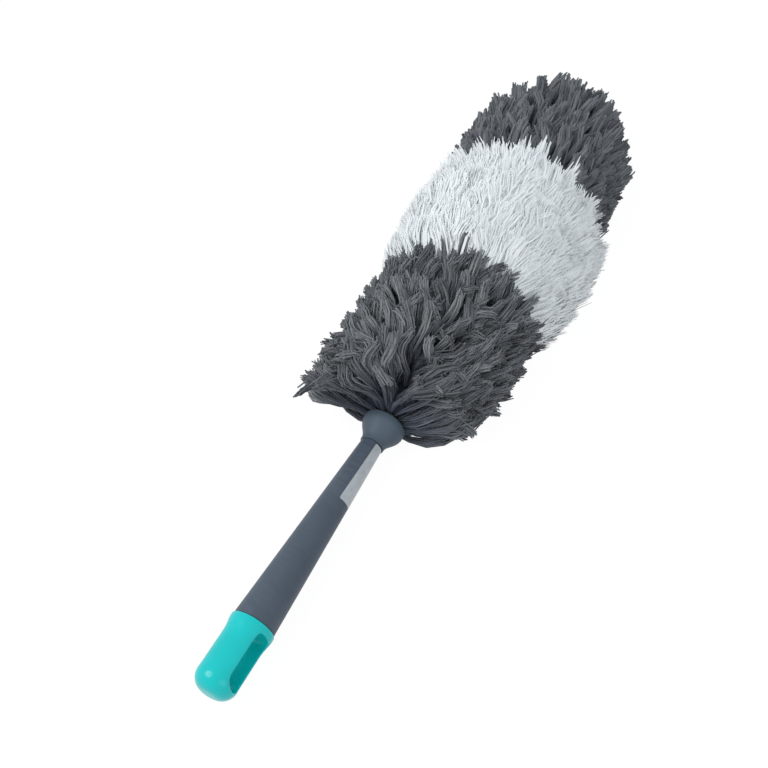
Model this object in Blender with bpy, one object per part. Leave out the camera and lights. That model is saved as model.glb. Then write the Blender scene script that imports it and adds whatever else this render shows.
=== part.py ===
"""Extendable microfibre duster, closed, lying on its side on a flat surface.

The duster runs along +X, from the hanging cap to the tip of the head, and +Z is up.
The origin is on the seat of the hanging slot, where a hook bears. All sizes are in metres.
"""

import math
import random

import bmesh
import bpy
from mathutils import Matrix

# Fits
FIT = 0.0003            # gap between pieces that touch on the real duster
SEAM = 0.0004           # visible seam between two outer pieces

# Hanging cap
SLOT_LENGTH = 0.0435
SLOT_HEIGHT = 0.021
SLOT_REAR_CORNER = 0.008
SLOT_FRONT_CORNER = 0.003
SLOT_ROLL = 12.0        # degrees about the duster's axis, which turn the slot's -Y opening up
CAP_END_WALL = 0.0075
CAP_BRIDGE = 0.0044     # solid length between the slot and the seam
CAP_RADIUS = 0.0163
CAP_COLLAR_RADIUS = 0.0176
CAP_COLLAR_LENGTH = 0.002
CAP_FLARE = 0.012       # length over which the cap widens to its collar
CAP_ROUNDING = 0.0115
SPIGOT_LENGTH = 0.012
SPIGOT_WALL = 0.0018

# Grip
GRIP_LENGTH = 0.173
GRIP_REAR_RADIUS = 0.0165
GRIP_MOUTH_RADIUS = 0.0093
GRIP_REAR_WALL = 0.0021
GRIP_LAND = 0.030       # length of the straight bore that holds the outer tube
GRIP_EDGE = 0.0005

# Label on the grip
LABEL_LENGTH = 0.0585
LABEL_WIDTH = 0.023
LABEL_THICKNESS = 0.0002
LABEL_GAP = 0.0001
LABEL_SETBACK = 0.0010  # from the grip's mouth

# Telescopic tubes
OUTER_TUBE_RADIUS = 0.0076
MIDDLE_TUBE_RADIUS = 0.0058
INNER_TUBE_RADIUS = 0.0040
TUBE_WALL = 0.0006
SWAGE_LENGTH = 0.005    # straight part of a drawn-in tube mouth
SWAGE_SLOPE = 0.002
MOUTH_SETBACK = 0.001   # of the nested tube mouths from the grip's mouth
REAR_SETBACK = 0.007    # of the outer tube's rear end from the seam

# Guide bushes and friction rings
BUSH_FLANGE = 0.003
BUSH_GROOVE = 0.004
BUSH_GROOVE_DEPTH = 0.0012
BUSH_GUIDE = 0.010
BUSH_STEM = 0.012
RING_OPENING = 30.0     # degrees left open in a split ring
REAR_PLUG_LENGTH = 0.008
REAR_PLUG_HEAD = 0.0015
BUSH_STANDOFF = 0.001   # from each bush to the plug behind it when the duster is closed
CENTRING_RING_LENGTH = 0.006
CENTRING_RING_PLACE = 0.0135  # from the seam

# Neck collar
COLLAR_LIP_RADIUS = 0.0104
COLLAR_LIP_LENGTH = 0.0014
COLLAR_RADIUS = 0.0181
COLLAR_LENGTH = 0.0235
COLLAR_WALL = 0.0020
COLLAR_RIM_ROUNDING = 0.0014
COLLAR_KNEE = 0.88      # share of the flank by which the bell has its full width
SOCKET_DEPTH = 0.0095   # of the inner tube in the collar
COLLAR_WEB = 0.004

# Core of the head
ROD_RADIUS = 0.0025
ROD_TAIL_RADIUS = 0.0015
ROD_TAIL_GRIP = 0.009   # length of the tail inside the neck plug
ROD_SHOULDER_RADIUS = 0.0045
ROD_SHOULDER = 0.002
WASHER_RADIUS = 0.006
WASHER_THICKNESS = 0.0012
NECK_PLUG_LENGTH = 0.014
FOAM_RADIUS = 0.009
SLEEVE_THICKNESS = 0.0015
HEM_LENGTH = 0.007
HEM_THICKNESS = 0.0024
CLAMP_LENGTH = 0.0050
TIP_CAP_THICKNESS = 0.0025
TIP_CAP_RADIUS = 0.0092
TIP_NUT_RADIUS = 0.0045
TIP_NUT_LENGTH = 0.0035

# Strands: where the three bands are sewn on the sleeve, measured from its start
LOWER_GREY_LENGTH = 0.1175
WHITE_LENGTH = 0.140
UPPER_GREY_LENGTH = 0.135
RING_PITCH = 0.0065     # from one ring of strands to the next
STRAND_COLUMNS = 14     # around the sleeve; every other cell of a ring carries a strand
STRAND_THICKNESS = 0.0045
STRAND_TIP_THICKNESS = 0.0015
STRAND_FULLNESS = 0.60  # share of its column that a strand fills at half its length
STRAND_TIP_FULLNESS = 0.26
STRAND_BEND = 0.35      # share of the sweep that is reached at half the length
STRAND_DRIFT = 0.3      # share of half a column that a strand wanders at half its length
STRAND_TIP_DRIFT = 0.6  # and at its tip
STRAND_TIP_SCATTER = 0.3     # share of the ring pitch that tips scatter along the duster
STRAND_TIP_SHORT = 0.5       # share of the ring pitch that a tip may fall short of the outline
LOWER_GREY_RADIUS = 0.078
LOWER_SPLAY_RADIUS = 0.080   # at the collar, where tufts splay on the +Y side
LOWER_SWELL_RADIUS = 0.040   # at the collar, on the other sides
LOWER_SWELL = 0.55           # share of the rise to the full radius by a fifth of the lower band
SPLAY_BACK = 0.024           # how far the splayed tufts reach back over the collar
SPLAY_ANGLE = 30.0           # degrees above level, on the +Y side, where they splay most
WHITE_RADIUS = 0.094
WHITE_START_RADIUS = 0.0875
WHITE_END_RADIUS = 0.092
UPPER_GREY_RADIUS = 0.086
SWEEP = 0.045           # how far a full-length strand leans towards the tip
DOME_ROOT = 0.060       # along the upper band, where the strands start to fan out over the tip
DOME_START = 0.018      # from there to the start of the dome, before the sweep is added
DOME_LENGTH = 0.082
DOME_TURN = 86.0        # degrees of the dome that the strands cover
TOP_LEAN = 0.009        # how far the top of the head leans to the +Y side
TOP_LEAN_LENGTH = 0.060      # length of the upper band over which it starts to lean
SWIRL = 12.0            # degrees that the columns of strands wander, most at the top
SWIRL_LENGTH = 0.150    # length of one full wander along the sleeve
SETTLE_ABOVE = 45.0     # degrees above level where the strands are no longer pressed aside
FLAT_DEPTH = 0.0005     # depth of the flat that the weight presses into the strands

SHELL_SIDES = 40
TUBE_SIDES = 24
SMALL_SIDES = 16

# Places along the duster, worked out from the sizes above
SEAM_X = SLOT_LENGTH + CAP_BRIDGE
GRIP_REAR_X = SEAM_X + SEAM
GRIP_MOUTH_X = GRIP_REAR_X + GRIP_LENGTH
COLLAR_X = GRIP_MOUTH_X + SEAM
TUBE_REAR_X = SEAM_X + REAR_SETBACK
TUBE_MOUTH_X = GRIP_MOUTH_X - MOUTH_SETBACK
BUSH_BODY = 2 * BUSH_FLANGE + BUSH_GROOVE + BUSH_GUIDE
MIDDLE_BUSH_X = TUBE_REAR_X + REAR_PLUG_LENGTH + BUSH_STANDOFF
MIDDLE_REAR_X = MIDDLE_BUSH_X + BUSH_BODY + FIT
INNER_BUSH_X = MIDDLE_REAR_X + BUSH_STEM + BUSH_STANDOFF
INNER_REAR_X = INNER_BUSH_X + BUSH_BODY + FIT
INNER_MOUTH_X = COLLAR_X + SOCKET_DEPTH - FIT
WEB_FRONT_X = COLLAR_X + SOCKET_DEPTH + COLLAR_WEB
SHOULDER_X = WEB_FRONT_X + FIT + WASHER_THICKNESS + FIT
FOAM_X = SHOULDER_X + ROD_SHOULDER + FIT
RIM_X = COLLAR_X + COLLAR_LENGTH
SLEEVE_X = RIM_X + 2 * FIT
SLEEVE_BORE = FOAM_RADIUS + FIT
SLEEVE_RADIUS = SLEEVE_BORE + SLEEVE_THICKNESS
WHITE_X = SLEEVE_X + LOWER_GREY_LENGTH
UPPER_X = WHITE_X + WHITE_LENGTH
SLEEVE_END_X = UPPER_X + UPPER_GREY_LENGTH
TIP_CAP_X = SLEEVE_END_X + FIT
TIP_NUT_X = TIP_CAP_X + TIP_CAP_THICKNESS + FIT
REST_Z = -max(CAP_COLLAR_RADIUS, COLLAR_RADIUS)   # the surface that the duster lies on

SLATE = (0.115, 0.145, 0.175)
TURQUOISE = (0.015, 0.600, 0.620)
SILVER = (0.560, 0.590, 0.600)
STEEL = (0.620, 0.630, 0.640)
BLACK_PLASTIC = (0.030, 0.032, 0.035)
FOAM_GREY = (0.300, 0.310, 0.320)
GREY_FIBRE = (0.120, 0.130, 0.145)
WHITE_FIBRE = (0.780, 0.830, 0.850)


def clear_scene():
    for item in list(bpy.data.objects):
        bpy.data.objects.remove(item, do_unlink=True)


def finish(name, colour, roughness, metallic=0.0):
    """A plain Principled material."""
    material = bpy.data.materials.new(name)
    material.use_nodes = True
    shader = material.node_tree.nodes["Principled BSDF"]
    shader.inputs["Base Color"].default_value = (*colour, 1.0)
    shader.inputs["Roughness"].default_value = roughness
    shader.inputs["Metallic"].default_value = metallic
    return material


def empty(name, x=0.0, parent=None):
    """An empty on the duster's axis, which carries one moving group."""
    item = bpy.data.objects.new(name, None)
    item.location.x = x
    item.parent = parent
    bpy.context.collection.objects.link(item)
    return item


def add_piece(name, bm, material, group):
    """Turn a bmesh in world coordinates into a named object under its group's empty."""
    bmesh.ops.recalc_face_normals(bm, faces=bm.faces)
    mesh = bpy.data.meshes.new(name)
    group_x = group.location.x
    bmesh.ops.translate(bm, verts=bm.verts, vec=(-group_x, 0.0, 0.0))
    bm.to_mesh(mesh)
    bm.free()
    mesh.materials.append(material)
    mesh.shade_smooth()
    mesh.set_sharp_from_angle(angle=math.radians(30))
    piece = bpy.data.objects.new(name, mesh)
    piece.parent = group
    bpy.context.collection.objects.link(piece)
    return piece


def turned(name, outline, material, group, sides=TUBE_SIDES, turn=360.0, start=0.0, closed=True):
    """Spin an outline of (x, radius) points about the duster's axis.

    A closed outline makes a ring or tube. An open one starts and ends on the axis.
    A turn of less than 360 degrees starts at the angle given from +Z and gets flat ends.
    """
    bm = bmesh.new()
    first = math.radians(start)
    verts = [bm.verts.new((x, -r * math.sin(first), r * math.cos(first))) for x, r in outline]
    edges = [bm.edges.new(pair) for pair in zip(verts, verts[1:])]
    if closed:
        edges.append(bm.edges.new((verts[-1], verts[0])))
    full = turn >= 360.0
    swept = bmesh.ops.spin(
        bm, geom=verts + edges, cent=(0, 0, 0), axis=(1, 0, 0), dvec=(0, 0, 0),
        angle=math.radians(turn), steps=sides, use_merge=full, use_duplicate=False)
    if not full:
        last = [item for item in swept["geom_last"] if isinstance(item, bmesh.types.BMVert)]
        bm.faces.new(verts)
        bm.faces.new(last)
    bmesh.ops.remove_doubles(bm, verts=bm.verts, dist=1e-7)
    return add_piece(name, bm, material, group)


def between(low, high, share):
    return low + (high - low) * share


def arc(centre_x, centre_r, radius, start, end, steps):
    """Points of a round corner in an outline, angles in degrees from +X towards +radius."""
    points = []
    for step in range(steps + 1):
        angle = math.radians(start + (end - start) * step / steps)
        points.append((centre_x + radius * math.cos(angle), centre_r + radius * math.sin(angle)))
    return points


def grip_radius(x):
    """Outer radius of the straight taper of the grip."""
    share = (x - GRIP_REAR_X) / GRIP_LENGTH
    return GRIP_REAR_RADIUS + (GRIP_MOUTH_RADIUS - GRIP_REAR_RADIUS) * share


def grip_bore(x):
    """Inner radius of the grip: a taper that ends in the outer tube's straight land."""
    land = OUTER_TUBE_RADIUS + FIT
    rear = GRIP_REAR_RADIUS - GRIP_REAR_WALL
    share = min((x - GRIP_REAR_X) / (GRIP_LENGTH - GRIP_LAND), 1.0)
    return rear + (land - rear) * share


def slot_cutter(group):
    """A rounded bar along Y, rolled about the duster's axis, that cuts the hanging slot."""
    bm = bmesh.new()
    half = SLOT_HEIGHT / 2
    front, rear = SLOT_FRONT_CORNER, SLOT_REAR_CORNER
    corners = ((SLOT_LENGTH - front, half - front, front), (rear, half - rear, rear),
               (rear, rear - half, rear), (SLOT_LENGTH - front, front - half, front))
    reach = 1.5 * CAP_COLLAR_RADIUS
    verts = []
    for quarter, (corner_x, corner_z, radius) in enumerate(corners):
        points = arc(corner_x, corner_z, radius, 90 * quarter, 90 * quarter + 90, 5)
        verts += [bm.verts.new((x, -reach, z)) for x, z in points]
    face = bm.faces.new(verts)
    pushed = bmesh.ops.extrude_face_region(bm, geom=[face])
    far = [item for item in pushed["geom"] if isinstance(item, bmesh.types.BMVert)]
    bmesh.ops.translate(bm, verts=far, vec=(0.0, 2 * reach, 0.0))
    roll = Matrix.Rotation(-math.radians(SLOT_ROLL), 3, "X")
    bmesh.ops.rotate(bm, verts=bm.verts, cent=(0, 0, 0), matrix=roll)
    cutter = add_piece("slot_cutter", bm, bpy.data.materials["turquoise"], group)
    cutter.hide_render = True
    cutter.display_type = "WIRE"
    return cutter


def hang_cap(group, material):
    """End cap with a round end, a flare up to its collar at the seam and a hollow spigot."""
    end_x = -CAP_END_WALL
    round_r = CAP_RADIUS - CAP_ROUNDING
    collar_x = SEAM_X - CAP_COLLAR_LENGTH
    flare_x = collar_x - CAP_FLARE
    spigot_end = SEAM_X + SPIGOT_LENGTH
    bore = grip_bore(spigot_end) - FIT - SPIGOT_WALL
    outline = [(end_x, 0.0)]
    outline += arc(end_x + CAP_ROUNDING, round_r, CAP_ROUNDING, 180, 90, 8)
    for step in range(5):
        rise = (1.0 - math.cos(math.pi * step / 4)) / 2
        outline.append((between(flare_x, collar_x, step / 4), between(CAP_RADIUS, CAP_COLLAR_RADIUS, rise)))
    outline += [
        (SEAM_X - GRIP_EDGE, CAP_COLLAR_RADIUS),
        (SEAM_X, CAP_COLLAR_RADIUS - GRIP_EDGE),
        (SEAM_X, grip_bore(GRIP_REAR_X) - FIT),
        (spigot_end, grip_bore(spigot_end) - FIT),
        (spigot_end, bore),
        (SEAM_X - CAP_BRIDGE / 3, bore),
        (SEAM_X - CAP_BRIDGE / 3, 0.0),
    ]
    cap = turned("hang_cap", outline, material, group, SHELL_SIDES, closed=False)
    cut = cap.modifiers.new("hanging slot", "BOOLEAN")
    cut.operation = "DIFFERENCE"
    cut.solver = "EXACT"
    cut.object = slot_cutter(group)


def grip_shell(group, material):
    """Tapering handle shell with a straight land for the outer tube."""
    land_x = GRIP_MOUTH_X - GRIP_LAND
    outline = [
        (GRIP_REAR_X, grip_bore(GRIP_REAR_X)),
        (GRIP_REAR_X, grip_radius(GRIP_REAR_X) - GRIP_EDGE),
        (GRIP_REAR_X + GRIP_EDGE, grip_radius(GRIP_REAR_X + GRIP_EDGE)),
        (GRIP_MOUTH_X - GRIP_EDGE, grip_radius(GRIP_MOUTH_X - GRIP_EDGE)),
        (GRIP_MOUTH_X, grip_radius(GRIP_MOUTH_X) - GRIP_EDGE),
        (GRIP_MOUTH_X, grip_bore(GRIP_MOUTH_X)),
        (land_x, grip_bore(land_x)),
    ]
    turned("grip_shell", outline, material, group, SHELL_SIDES)


def grip_label(group, material):
    """Bare sticker wrapped round the -Y side of the grip's narrow end."""
    front = GRIP_MOUTH_X - LABEL_SETBACK
    rear = front - LABEL_LENGTH
    wrap = math.degrees(LABEL_WIDTH / grip_radius((front + rear) / 2))
    outline = [
        (rear, grip_radius(rear) + LABEL_GAP),
        (front, grip_radius(front) + LABEL_GAP),
        (front, grip_radius(front) + LABEL_GAP + LABEL_THICKNESS),
        (rear, grip_radius(rear) + LABEL_GAP + LABEL_THICKNESS),
    ]
    turned("grip_label", outline, material, group, SHELL_SIDES // 3, wrap, 90 - wrap / 2)


def swaged_tube(name, rear_x, mouth_x, radius, next_radius, material, group):
    """A thin tube whose mouth is drawn in round the next tube, as its stop."""
    bore = radius - TUBE_WALL
    mouth_bore = next_radius + FIT
    slope_x = mouth_x - SWAGE_LENGTH - SWAGE_SLOPE
    outline = [
        (rear_x, bore),
        (rear_x, radius),
        (slope_x, radius),
        (mouth_x - SWAGE_LENGTH, mouth_bore + TUBE_WALL),
        (mouth_x, mouth_bore + TUBE_WALL),
        (mouth_x, mouth_bore),
        (mouth_x - SWAGE_LENGTH, mouth_bore),
        (slope_x, bore),
    ]
    turned(name, outline, material, group)
    return slope_x


def guide_bush(name, rear_x, outer_bore, stem_bore, material, group):
    """Guide bush on a tube's rear end: two flanges round a groove, a guide and a stem."""
    flange = outer_bore - FIT
    groove = flange - BUSH_GROOVE_DEPTH
    groove_x = rear_x + BUSH_FLANGE
    body_x = rear_x + BUSH_BODY
    outline = [
        (rear_x, 0.0),
        (rear_x, flange),
        (groove_x, flange),
        (groove_x, groove),
        (groove_x + BUSH_GROOVE, groove),
        (groove_x + BUSH_GROOVE, flange),
        (body_x, flange),
        (body_x, stem_bore - FIT),
        (body_x + BUSH_STEM, stem_bore - FIT),
        (body_x + BUSH_STEM, 0.0),
    ]
    turned(name, outline, material, group, closed=False)


def friction_ring(name, bush_x, outer_bore, material, group):
    """Split spring ring in a guide bush's groove."""
    flange = outer_bore - FIT
    rear_x = bush_x + BUSH_FLANGE + FIT
    front_x = bush_x + BUSH_FLANGE + BUSH_GROOVE - FIT
    inner = flange - BUSH_GROOVE_DEPTH + FIT
    outline = [(rear_x, inner), (rear_x, flange), (front_x, flange), (front_x, inner)]
    turned(name, outline, material, group, TUBE_SIDES - 2, 360.0 - RING_OPENING, 90.0)


def outer_stage(group, steel, plastic):
    """Tube fixed in the grip, with its rear plug and centring ring."""
    bore = OUTER_TUBE_RADIUS - TUBE_WALL
    swaged_tube("outer_tube", TUBE_REAR_X, TUBE_MOUTH_X, OUTER_TUBE_RADIUS,
                MIDDLE_TUBE_RADIUS, steel, group)
    head_x = TUBE_REAR_X - FIT
    plug = [
        (head_x - REAR_PLUG_HEAD, 0.0),
        (head_x - REAR_PLUG_HEAD, OUTER_TUBE_RADIUS),
        (head_x, OUTER_TUBE_RADIUS),
        (head_x, bore - FIT),
        (TUBE_REAR_X + REAR_PLUG_LENGTH, bore - FIT),
        (TUBE_REAR_X + REAR_PLUG_LENGTH, 0.0),
    ]
    turned("outer_tube_plug", plug, plastic, group, closed=False)
    rear_x = SEAM_X + CENTRING_RING_PLACE
    front_x = rear_x + CENTRING_RING_LENGTH
    ring = [
        (rear_x, OUTER_TUBE_RADIUS + FIT),
        (rear_x, grip_bore(rear_x) - FIT),
        (front_x, grip_bore(front_x) - FIT),
        (front_x, OUTER_TUBE_RADIUS + FIT),
    ]
    turned("tube_centring_ring", ring, plastic, group, SHELL_SIDES)


def middle_stage(group, steel, plastic):
    """First sliding tube with its guide bush and friction ring."""
    bore = OUTER_TUBE_RADIUS - TUBE_WALL
    swaged_tube("middle_tube", MIDDLE_REAR_X, TUBE_MOUTH_X, MIDDLE_TUBE_RADIUS,
                INNER_TUBE_RADIUS, steel, group)
    guide_bush("middle_plug", MIDDLE_BUSH_X, bore, MIDDLE_TUBE_RADIUS - TUBE_WALL, plastic, group)
    friction_ring("middle_friction_ring", MIDDLE_BUSH_X, bore, steel, group)


def inner_stage(group, steel, plastic):
    """Guide bush and friction ring that slide in the middle tube and let the inner tube turn."""
    bore = MIDDLE_TUBE_RADIUS - TUBE_WALL
    guide_bush("inner_plug", INNER_BUSH_X, bore, INNER_TUBE_RADIUS - TUBE_WALL, plastic, group)
    friction_ring("inner_friction_ring", INNER_BUSH_X, bore, steel, group)


def neck_collar(group, material):
    """Bell at the head's base: a lip at the grip, a swelling flank and a rounded rim."""
    flank = COLLAR_LENGTH - COLLAR_RIM_ROUNDING - COLLAR_LIP_LENGTH
    swell = COLLAR_RADIUS - COLLAR_LIP_RADIUS
    rim_x = RIM_X - COLLAR_RIM_ROUNDING
    outline = [
        (COLLAR_X, INNER_TUBE_RADIUS + FIT),
        (COLLAR_X, COLLAR_LIP_RADIUS - GRIP_EDGE),
        (COLLAR_X + GRIP_EDGE, COLLAR_LIP_RADIUS),
        (COLLAR_X + COLLAR_LIP_LENGTH, COLLAR_LIP_RADIUS),
    ]
    for step in range(1, 7):
        share = COLLAR_KNEE * step / 6
        rise = math.sin(step / 6 * math.pi / 2) ** 2
        outline.append((COLLAR_X + COLLAR_LIP_LENGTH + flank * share, COLLAR_LIP_RADIUS + swell * rise))
    outline += arc(rim_x, COLLAR_RADIUS - COLLAR_RIM_ROUNDING, COLLAR_RIM_ROUNDING, 90, 0, 3)
    cavity = COLLAR_RADIUS - COLLAR_WALL
    floor = cavity - (rim_x - WEB_FRONT_X) / 3
    outline += [
        (RIM_X, COLLAR_RADIUS - COLLAR_RIM_ROUNDING - GRIP_EDGE),
        (rim_x, cavity),
        (rim_x - HEM_LENGTH, cavity - COLLAR_WALL / 2),
        (WEB_FRONT_X, floor - COLLAR_WALL),
        (WEB_FRONT_X, ROD_TAIL_RADIUS + FIT),
        (COLLAR_X + SOCKET_DEPTH, ROD_TAIL_RADIUS + FIT),
        (COLLAR_X + SOCKET_DEPTH, INNER_TUBE_RADIUS + FIT),
    ]
    turned("neck_collar", outline, material, group, SHELL_SIDES)


def neck_joint(group, steel, plastic):
    """Inner tube, the plug in its front end and the washer under the rod's shoulder."""
    tube_bore = INNER_TUBE_RADIUS - TUBE_WALL
    tube = [
        (INNER_REAR_X, tube_bore),
        (INNER_REAR_X, INNER_TUBE_RADIUS),
        (INNER_MOUTH_X, INNER_TUBE_RADIUS),
        (INNER_MOUTH_X, tube_bore),
    ]
    turned("inner_tube", tube, steel, group)
    plug_rear = INNER_MOUTH_X - NECK_PLUG_LENGTH
    hole = ROD_TAIL_RADIUS + FIT
    hole_floor = INNER_MOUTH_X - ROD_TAIL_GRIP - FIT
    plug = [
        (plug_rear, 0.0),
        (plug_rear, tube_bore - FIT),
        (INNER_MOUTH_X, tube_bore - FIT),
        (INNER_MOUTH_X, hole),
        (hole_floor, hole),
        (hole_floor, 0.0),
    ]
    turned("neck_plug", plug, plastic, group, closed=False)
    washer_x = WEB_FRONT_X + FIT
    washer = [
        (washer_x, hole),
        (washer_x, WASHER_RADIUS),
        (washer_x + WASHER_THICKNESS, WASHER_RADIUS),
        (washer_x + WASHER_THICKNESS, hole),
    ]
    turned("core_washer", washer, steel, group)


def head_core(group, steel, plastic, foam):
    """Rod, foam tube, sleeve hem, clamp ring, end cap and nut of the head."""
    rod_end = TIP_NUT_X + TIP_NUT_LENGTH - FIT - TIP_NUT_LENGTH / 4
    rod = [
        (INNER_MOUTH_X - ROD_TAIL_GRIP, 0.0),
        (INNER_MOUTH_X - ROD_TAIL_GRIP, ROD_TAIL_RADIUS),
        (SHOULDER_X, ROD_TAIL_RADIUS),
        (SHOULDER_X, ROD_SHOULDER_RADIUS),
        (SHOULDER_X + ROD_SHOULDER, ROD_SHOULDER_RADIUS),
        (SHOULDER_X + ROD_SHOULDER, ROD_RADIUS),
        (rod_end, ROD_RADIUS),
        (rod_end, 0.0),
    ]
    turned("core_rod", rod, steel, group, SMALL_SIDES, closed=False)
    rod_hole = ROD_RADIUS + FIT
    tube = [
        (FOAM_X, rod_hole),
        (FOAM_X, FOAM_RADIUS),
        (SLEEVE_END_X, FOAM_RADIUS),
        (SLEEVE_END_X, rod_hole),
    ]
    turned("core_foam", tube, foam, group, STRAND_COLUMNS)
    hem_x = SLEEVE_X - FIT - HEM_LENGTH
    hem = [
        (hem_x, SLEEVE_BORE),
        (hem_x, SLEEVE_BORE + HEM_THICKNESS),
        (SLEEVE_X - FIT, SLEEVE_BORE + HEM_THICKNESS),
        (SLEEVE_X - FIT, SLEEVE_BORE),
    ]
    turned("sleeve_hem", hem, bpy.data.materials["grey fibre"], group, STRAND_COLUMNS)
    clamp_x = RIM_X - COLLAR_RIM_ROUNDING - HEM_LENGTH + FIT
    clamp = [
        (clamp_x, SLEEVE_BORE + HEM_THICKNESS + FIT),
        (clamp_x, COLLAR_RADIUS - 1.5 * COLLAR_WALL - FIT),
        (clamp_x + CLAMP_LENGTH, COLLAR_RADIUS - 1.5 * COLLAR_WALL - FIT),
        (clamp_x + CLAMP_LENGTH, SLEEVE_BORE + HEM_THICKNESS + FIT),
    ]
    turned("sleeve_clamp_ring", clamp, plastic, group)
    disc = [
        (TIP_CAP_X, rod_hole),
        (TIP_CAP_X, TIP_CAP_RADIUS),
        (TIP_CAP_X + TIP_CAP_THICKNESS, TIP_CAP_RADIUS - TIP_CAP_THICKNESS / 2),
        (TIP_CAP_X + TIP_CAP_THICKNESS, rod_hole),
    ]
    turned("tip_cap", disc, plastic, group)
    nut_end = TIP_NUT_X + TIP_NUT_LENGTH
    nut = [
        (nut_end - TIP_NUT_LENGTH / 4, 0.0),
        (nut_end - TIP_NUT_LENGTH / 4, rod_hole),
        (TIP_NUT_X, rod_hole),
        (TIP_NUT_X, TIP_NUT_RADIUS),
        (nut_end, TIP_NUT_RADIUS * 0.8),
        (nut_end, 0.0),
    ]
    turned("tip_nut", nut, steel, group, SMALL_SIDES, closed=False)


def tip_line(side):
    """Where strands end, as (root from the sleeve's start, end from the same start, radius).

    side is 1 where the tufts splay at the collar and 0 on the far side of the head.
    """
    full_x = LOWER_GREY_LENGTH + WHITE_LENGTH
    base = between(LOWER_SWELL_RADIUS, LOWER_SPLAY_RADIUS, side)
    swell = between(base, LOWER_GREY_RADIUS, LOWER_SWELL)
    edge = RING_PITCH / 10
    line = [
        (0.0, -SPLAY_BACK * side, base),
        (0.2 * LOWER_GREY_LENGTH, 0.2 * LOWER_GREY_LENGTH + 0.4 * SWEEP, swell),
        (0.5 * LOWER_GREY_LENGTH, 0.5 * LOWER_GREY_LENGTH + 0.8 * SWEEP, LOWER_GREY_RADIUS),
        (LOWER_GREY_LENGTH - edge, LOWER_GREY_LENGTH + 0.9 * SWEEP, LOWER_GREY_RADIUS),
        (LOWER_GREY_LENGTH + edge, LOWER_GREY_LENGTH + SWEEP, WHITE_START_RADIUS),
        (LOWER_GREY_LENGTH + 0.4 * WHITE_LENGTH, LOWER_GREY_LENGTH + 0.4 * WHITE_LENGTH + SWEEP,
         WHITE_RADIUS),
        (full_x - edge, full_x + SWEEP, WHITE_END_RADIUS),
        (full_x + edge, full_x + SWEEP + 2 * edge, UPPER_GREY_RADIUS),
    ]
    dome_x = full_x + DOME_ROOT + DOME_START + SWEEP
    steps = 5
    for step in range(steps + 1):
        root = full_x + between(DOME_ROOT, UPPER_GREY_LENGTH, step / steps)
        turn = math.radians(DOME_TURN * step / steps)
        line.append((root, dome_x + DOME_LENGTH * math.sin(turn), UPPER_GREY_RADIUS * math.cos(turn)))
    return line


def strand_end(root, side):
    """End of the strand that is sewn at this distance along the sleeve."""
    line = tip_line(side)
    for low, high in zip(line, line[1:]):
        if root <= high[0]:
            share = (root - low[0]) / (high[0] - low[0])
            return between(low[1], high[1], share), between(low[2], high[2], share)
    return line[-1][1], line[-1][2]


def swirled(angle, root):
    """Angle of a column at this distance along the sleeve. The underside doesn't wander."""
    wander = SWIRL * math.sin(math.tau * root / SWIRL_LENGTH)
    return angle + wander * (1.0 + math.sin(math.radians(angle))) / 2


def top_lean(x, radius):
    """How far aside a point of the head's fluffy top lies. The sleeve itself stays straight."""
    along = min(max((x - UPPER_X) / TOP_LEAN_LENGTH, 0.0), 1.0)
    outward = max(radius - SLEEVE_RADIUS, 0.0) / (UPPER_GREY_RADIUS - SLEEVE_RADIUS)
    return TOP_LEAN * along * min(outward, 1.0)


def settled(x, radius, angle):
    """Point at an angle from level, where the surface below presses low strands aside.

    The angle is in degrees, from +Y over +Z. At the sleeve nothing moves. Further out, the
    strands that would reach below the surface are gathered into the space above it, and the
    lowest ones press on it by the depth of their flats.
    """
    mirrored = angle > 90.0
    lean = 180.0 - angle if mirrored else angle
    room = abs(REST_Z) + FLAT_DEPTH
    if radius > room and lean < SETTLE_ABOVE:
        lowest = -math.degrees(math.asin(room / radius))
        space = (1.0 - STRAND_FULLNESS) * 180.0 / STRAND_COLUMNS
        bottom = -90.0 + space * (1.0 - room / radius)
        lean = between(lowest, SETTLE_ABOVE, (lean - bottom) / (SETTLE_ABOVE - bottom))
    turn = math.radians(180.0 - lean if mirrored else lean)
    return (x, radius * math.cos(turn) + top_lean(x, radius), radius * math.sin(turn))


def strand_section(bm, x, radius, angle, spread, thickness, lean):
    """Four corners of a strand at one station, across its own direction in the (x, radius) plane."""
    along = thickness / 2 * math.cos(lean)
    inward = thickness / 2 * math.sin(lean)
    corners = (
        (x - along, radius + inward, angle - spread),
        (x + along, radius - inward, angle - spread),
        (x + along, radius - inward, angle + spread),
        (x - along, radius + inward, angle + spread),
    )
    return [bm.verts.new(settled(*corner)) for corner in corners]


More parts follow.
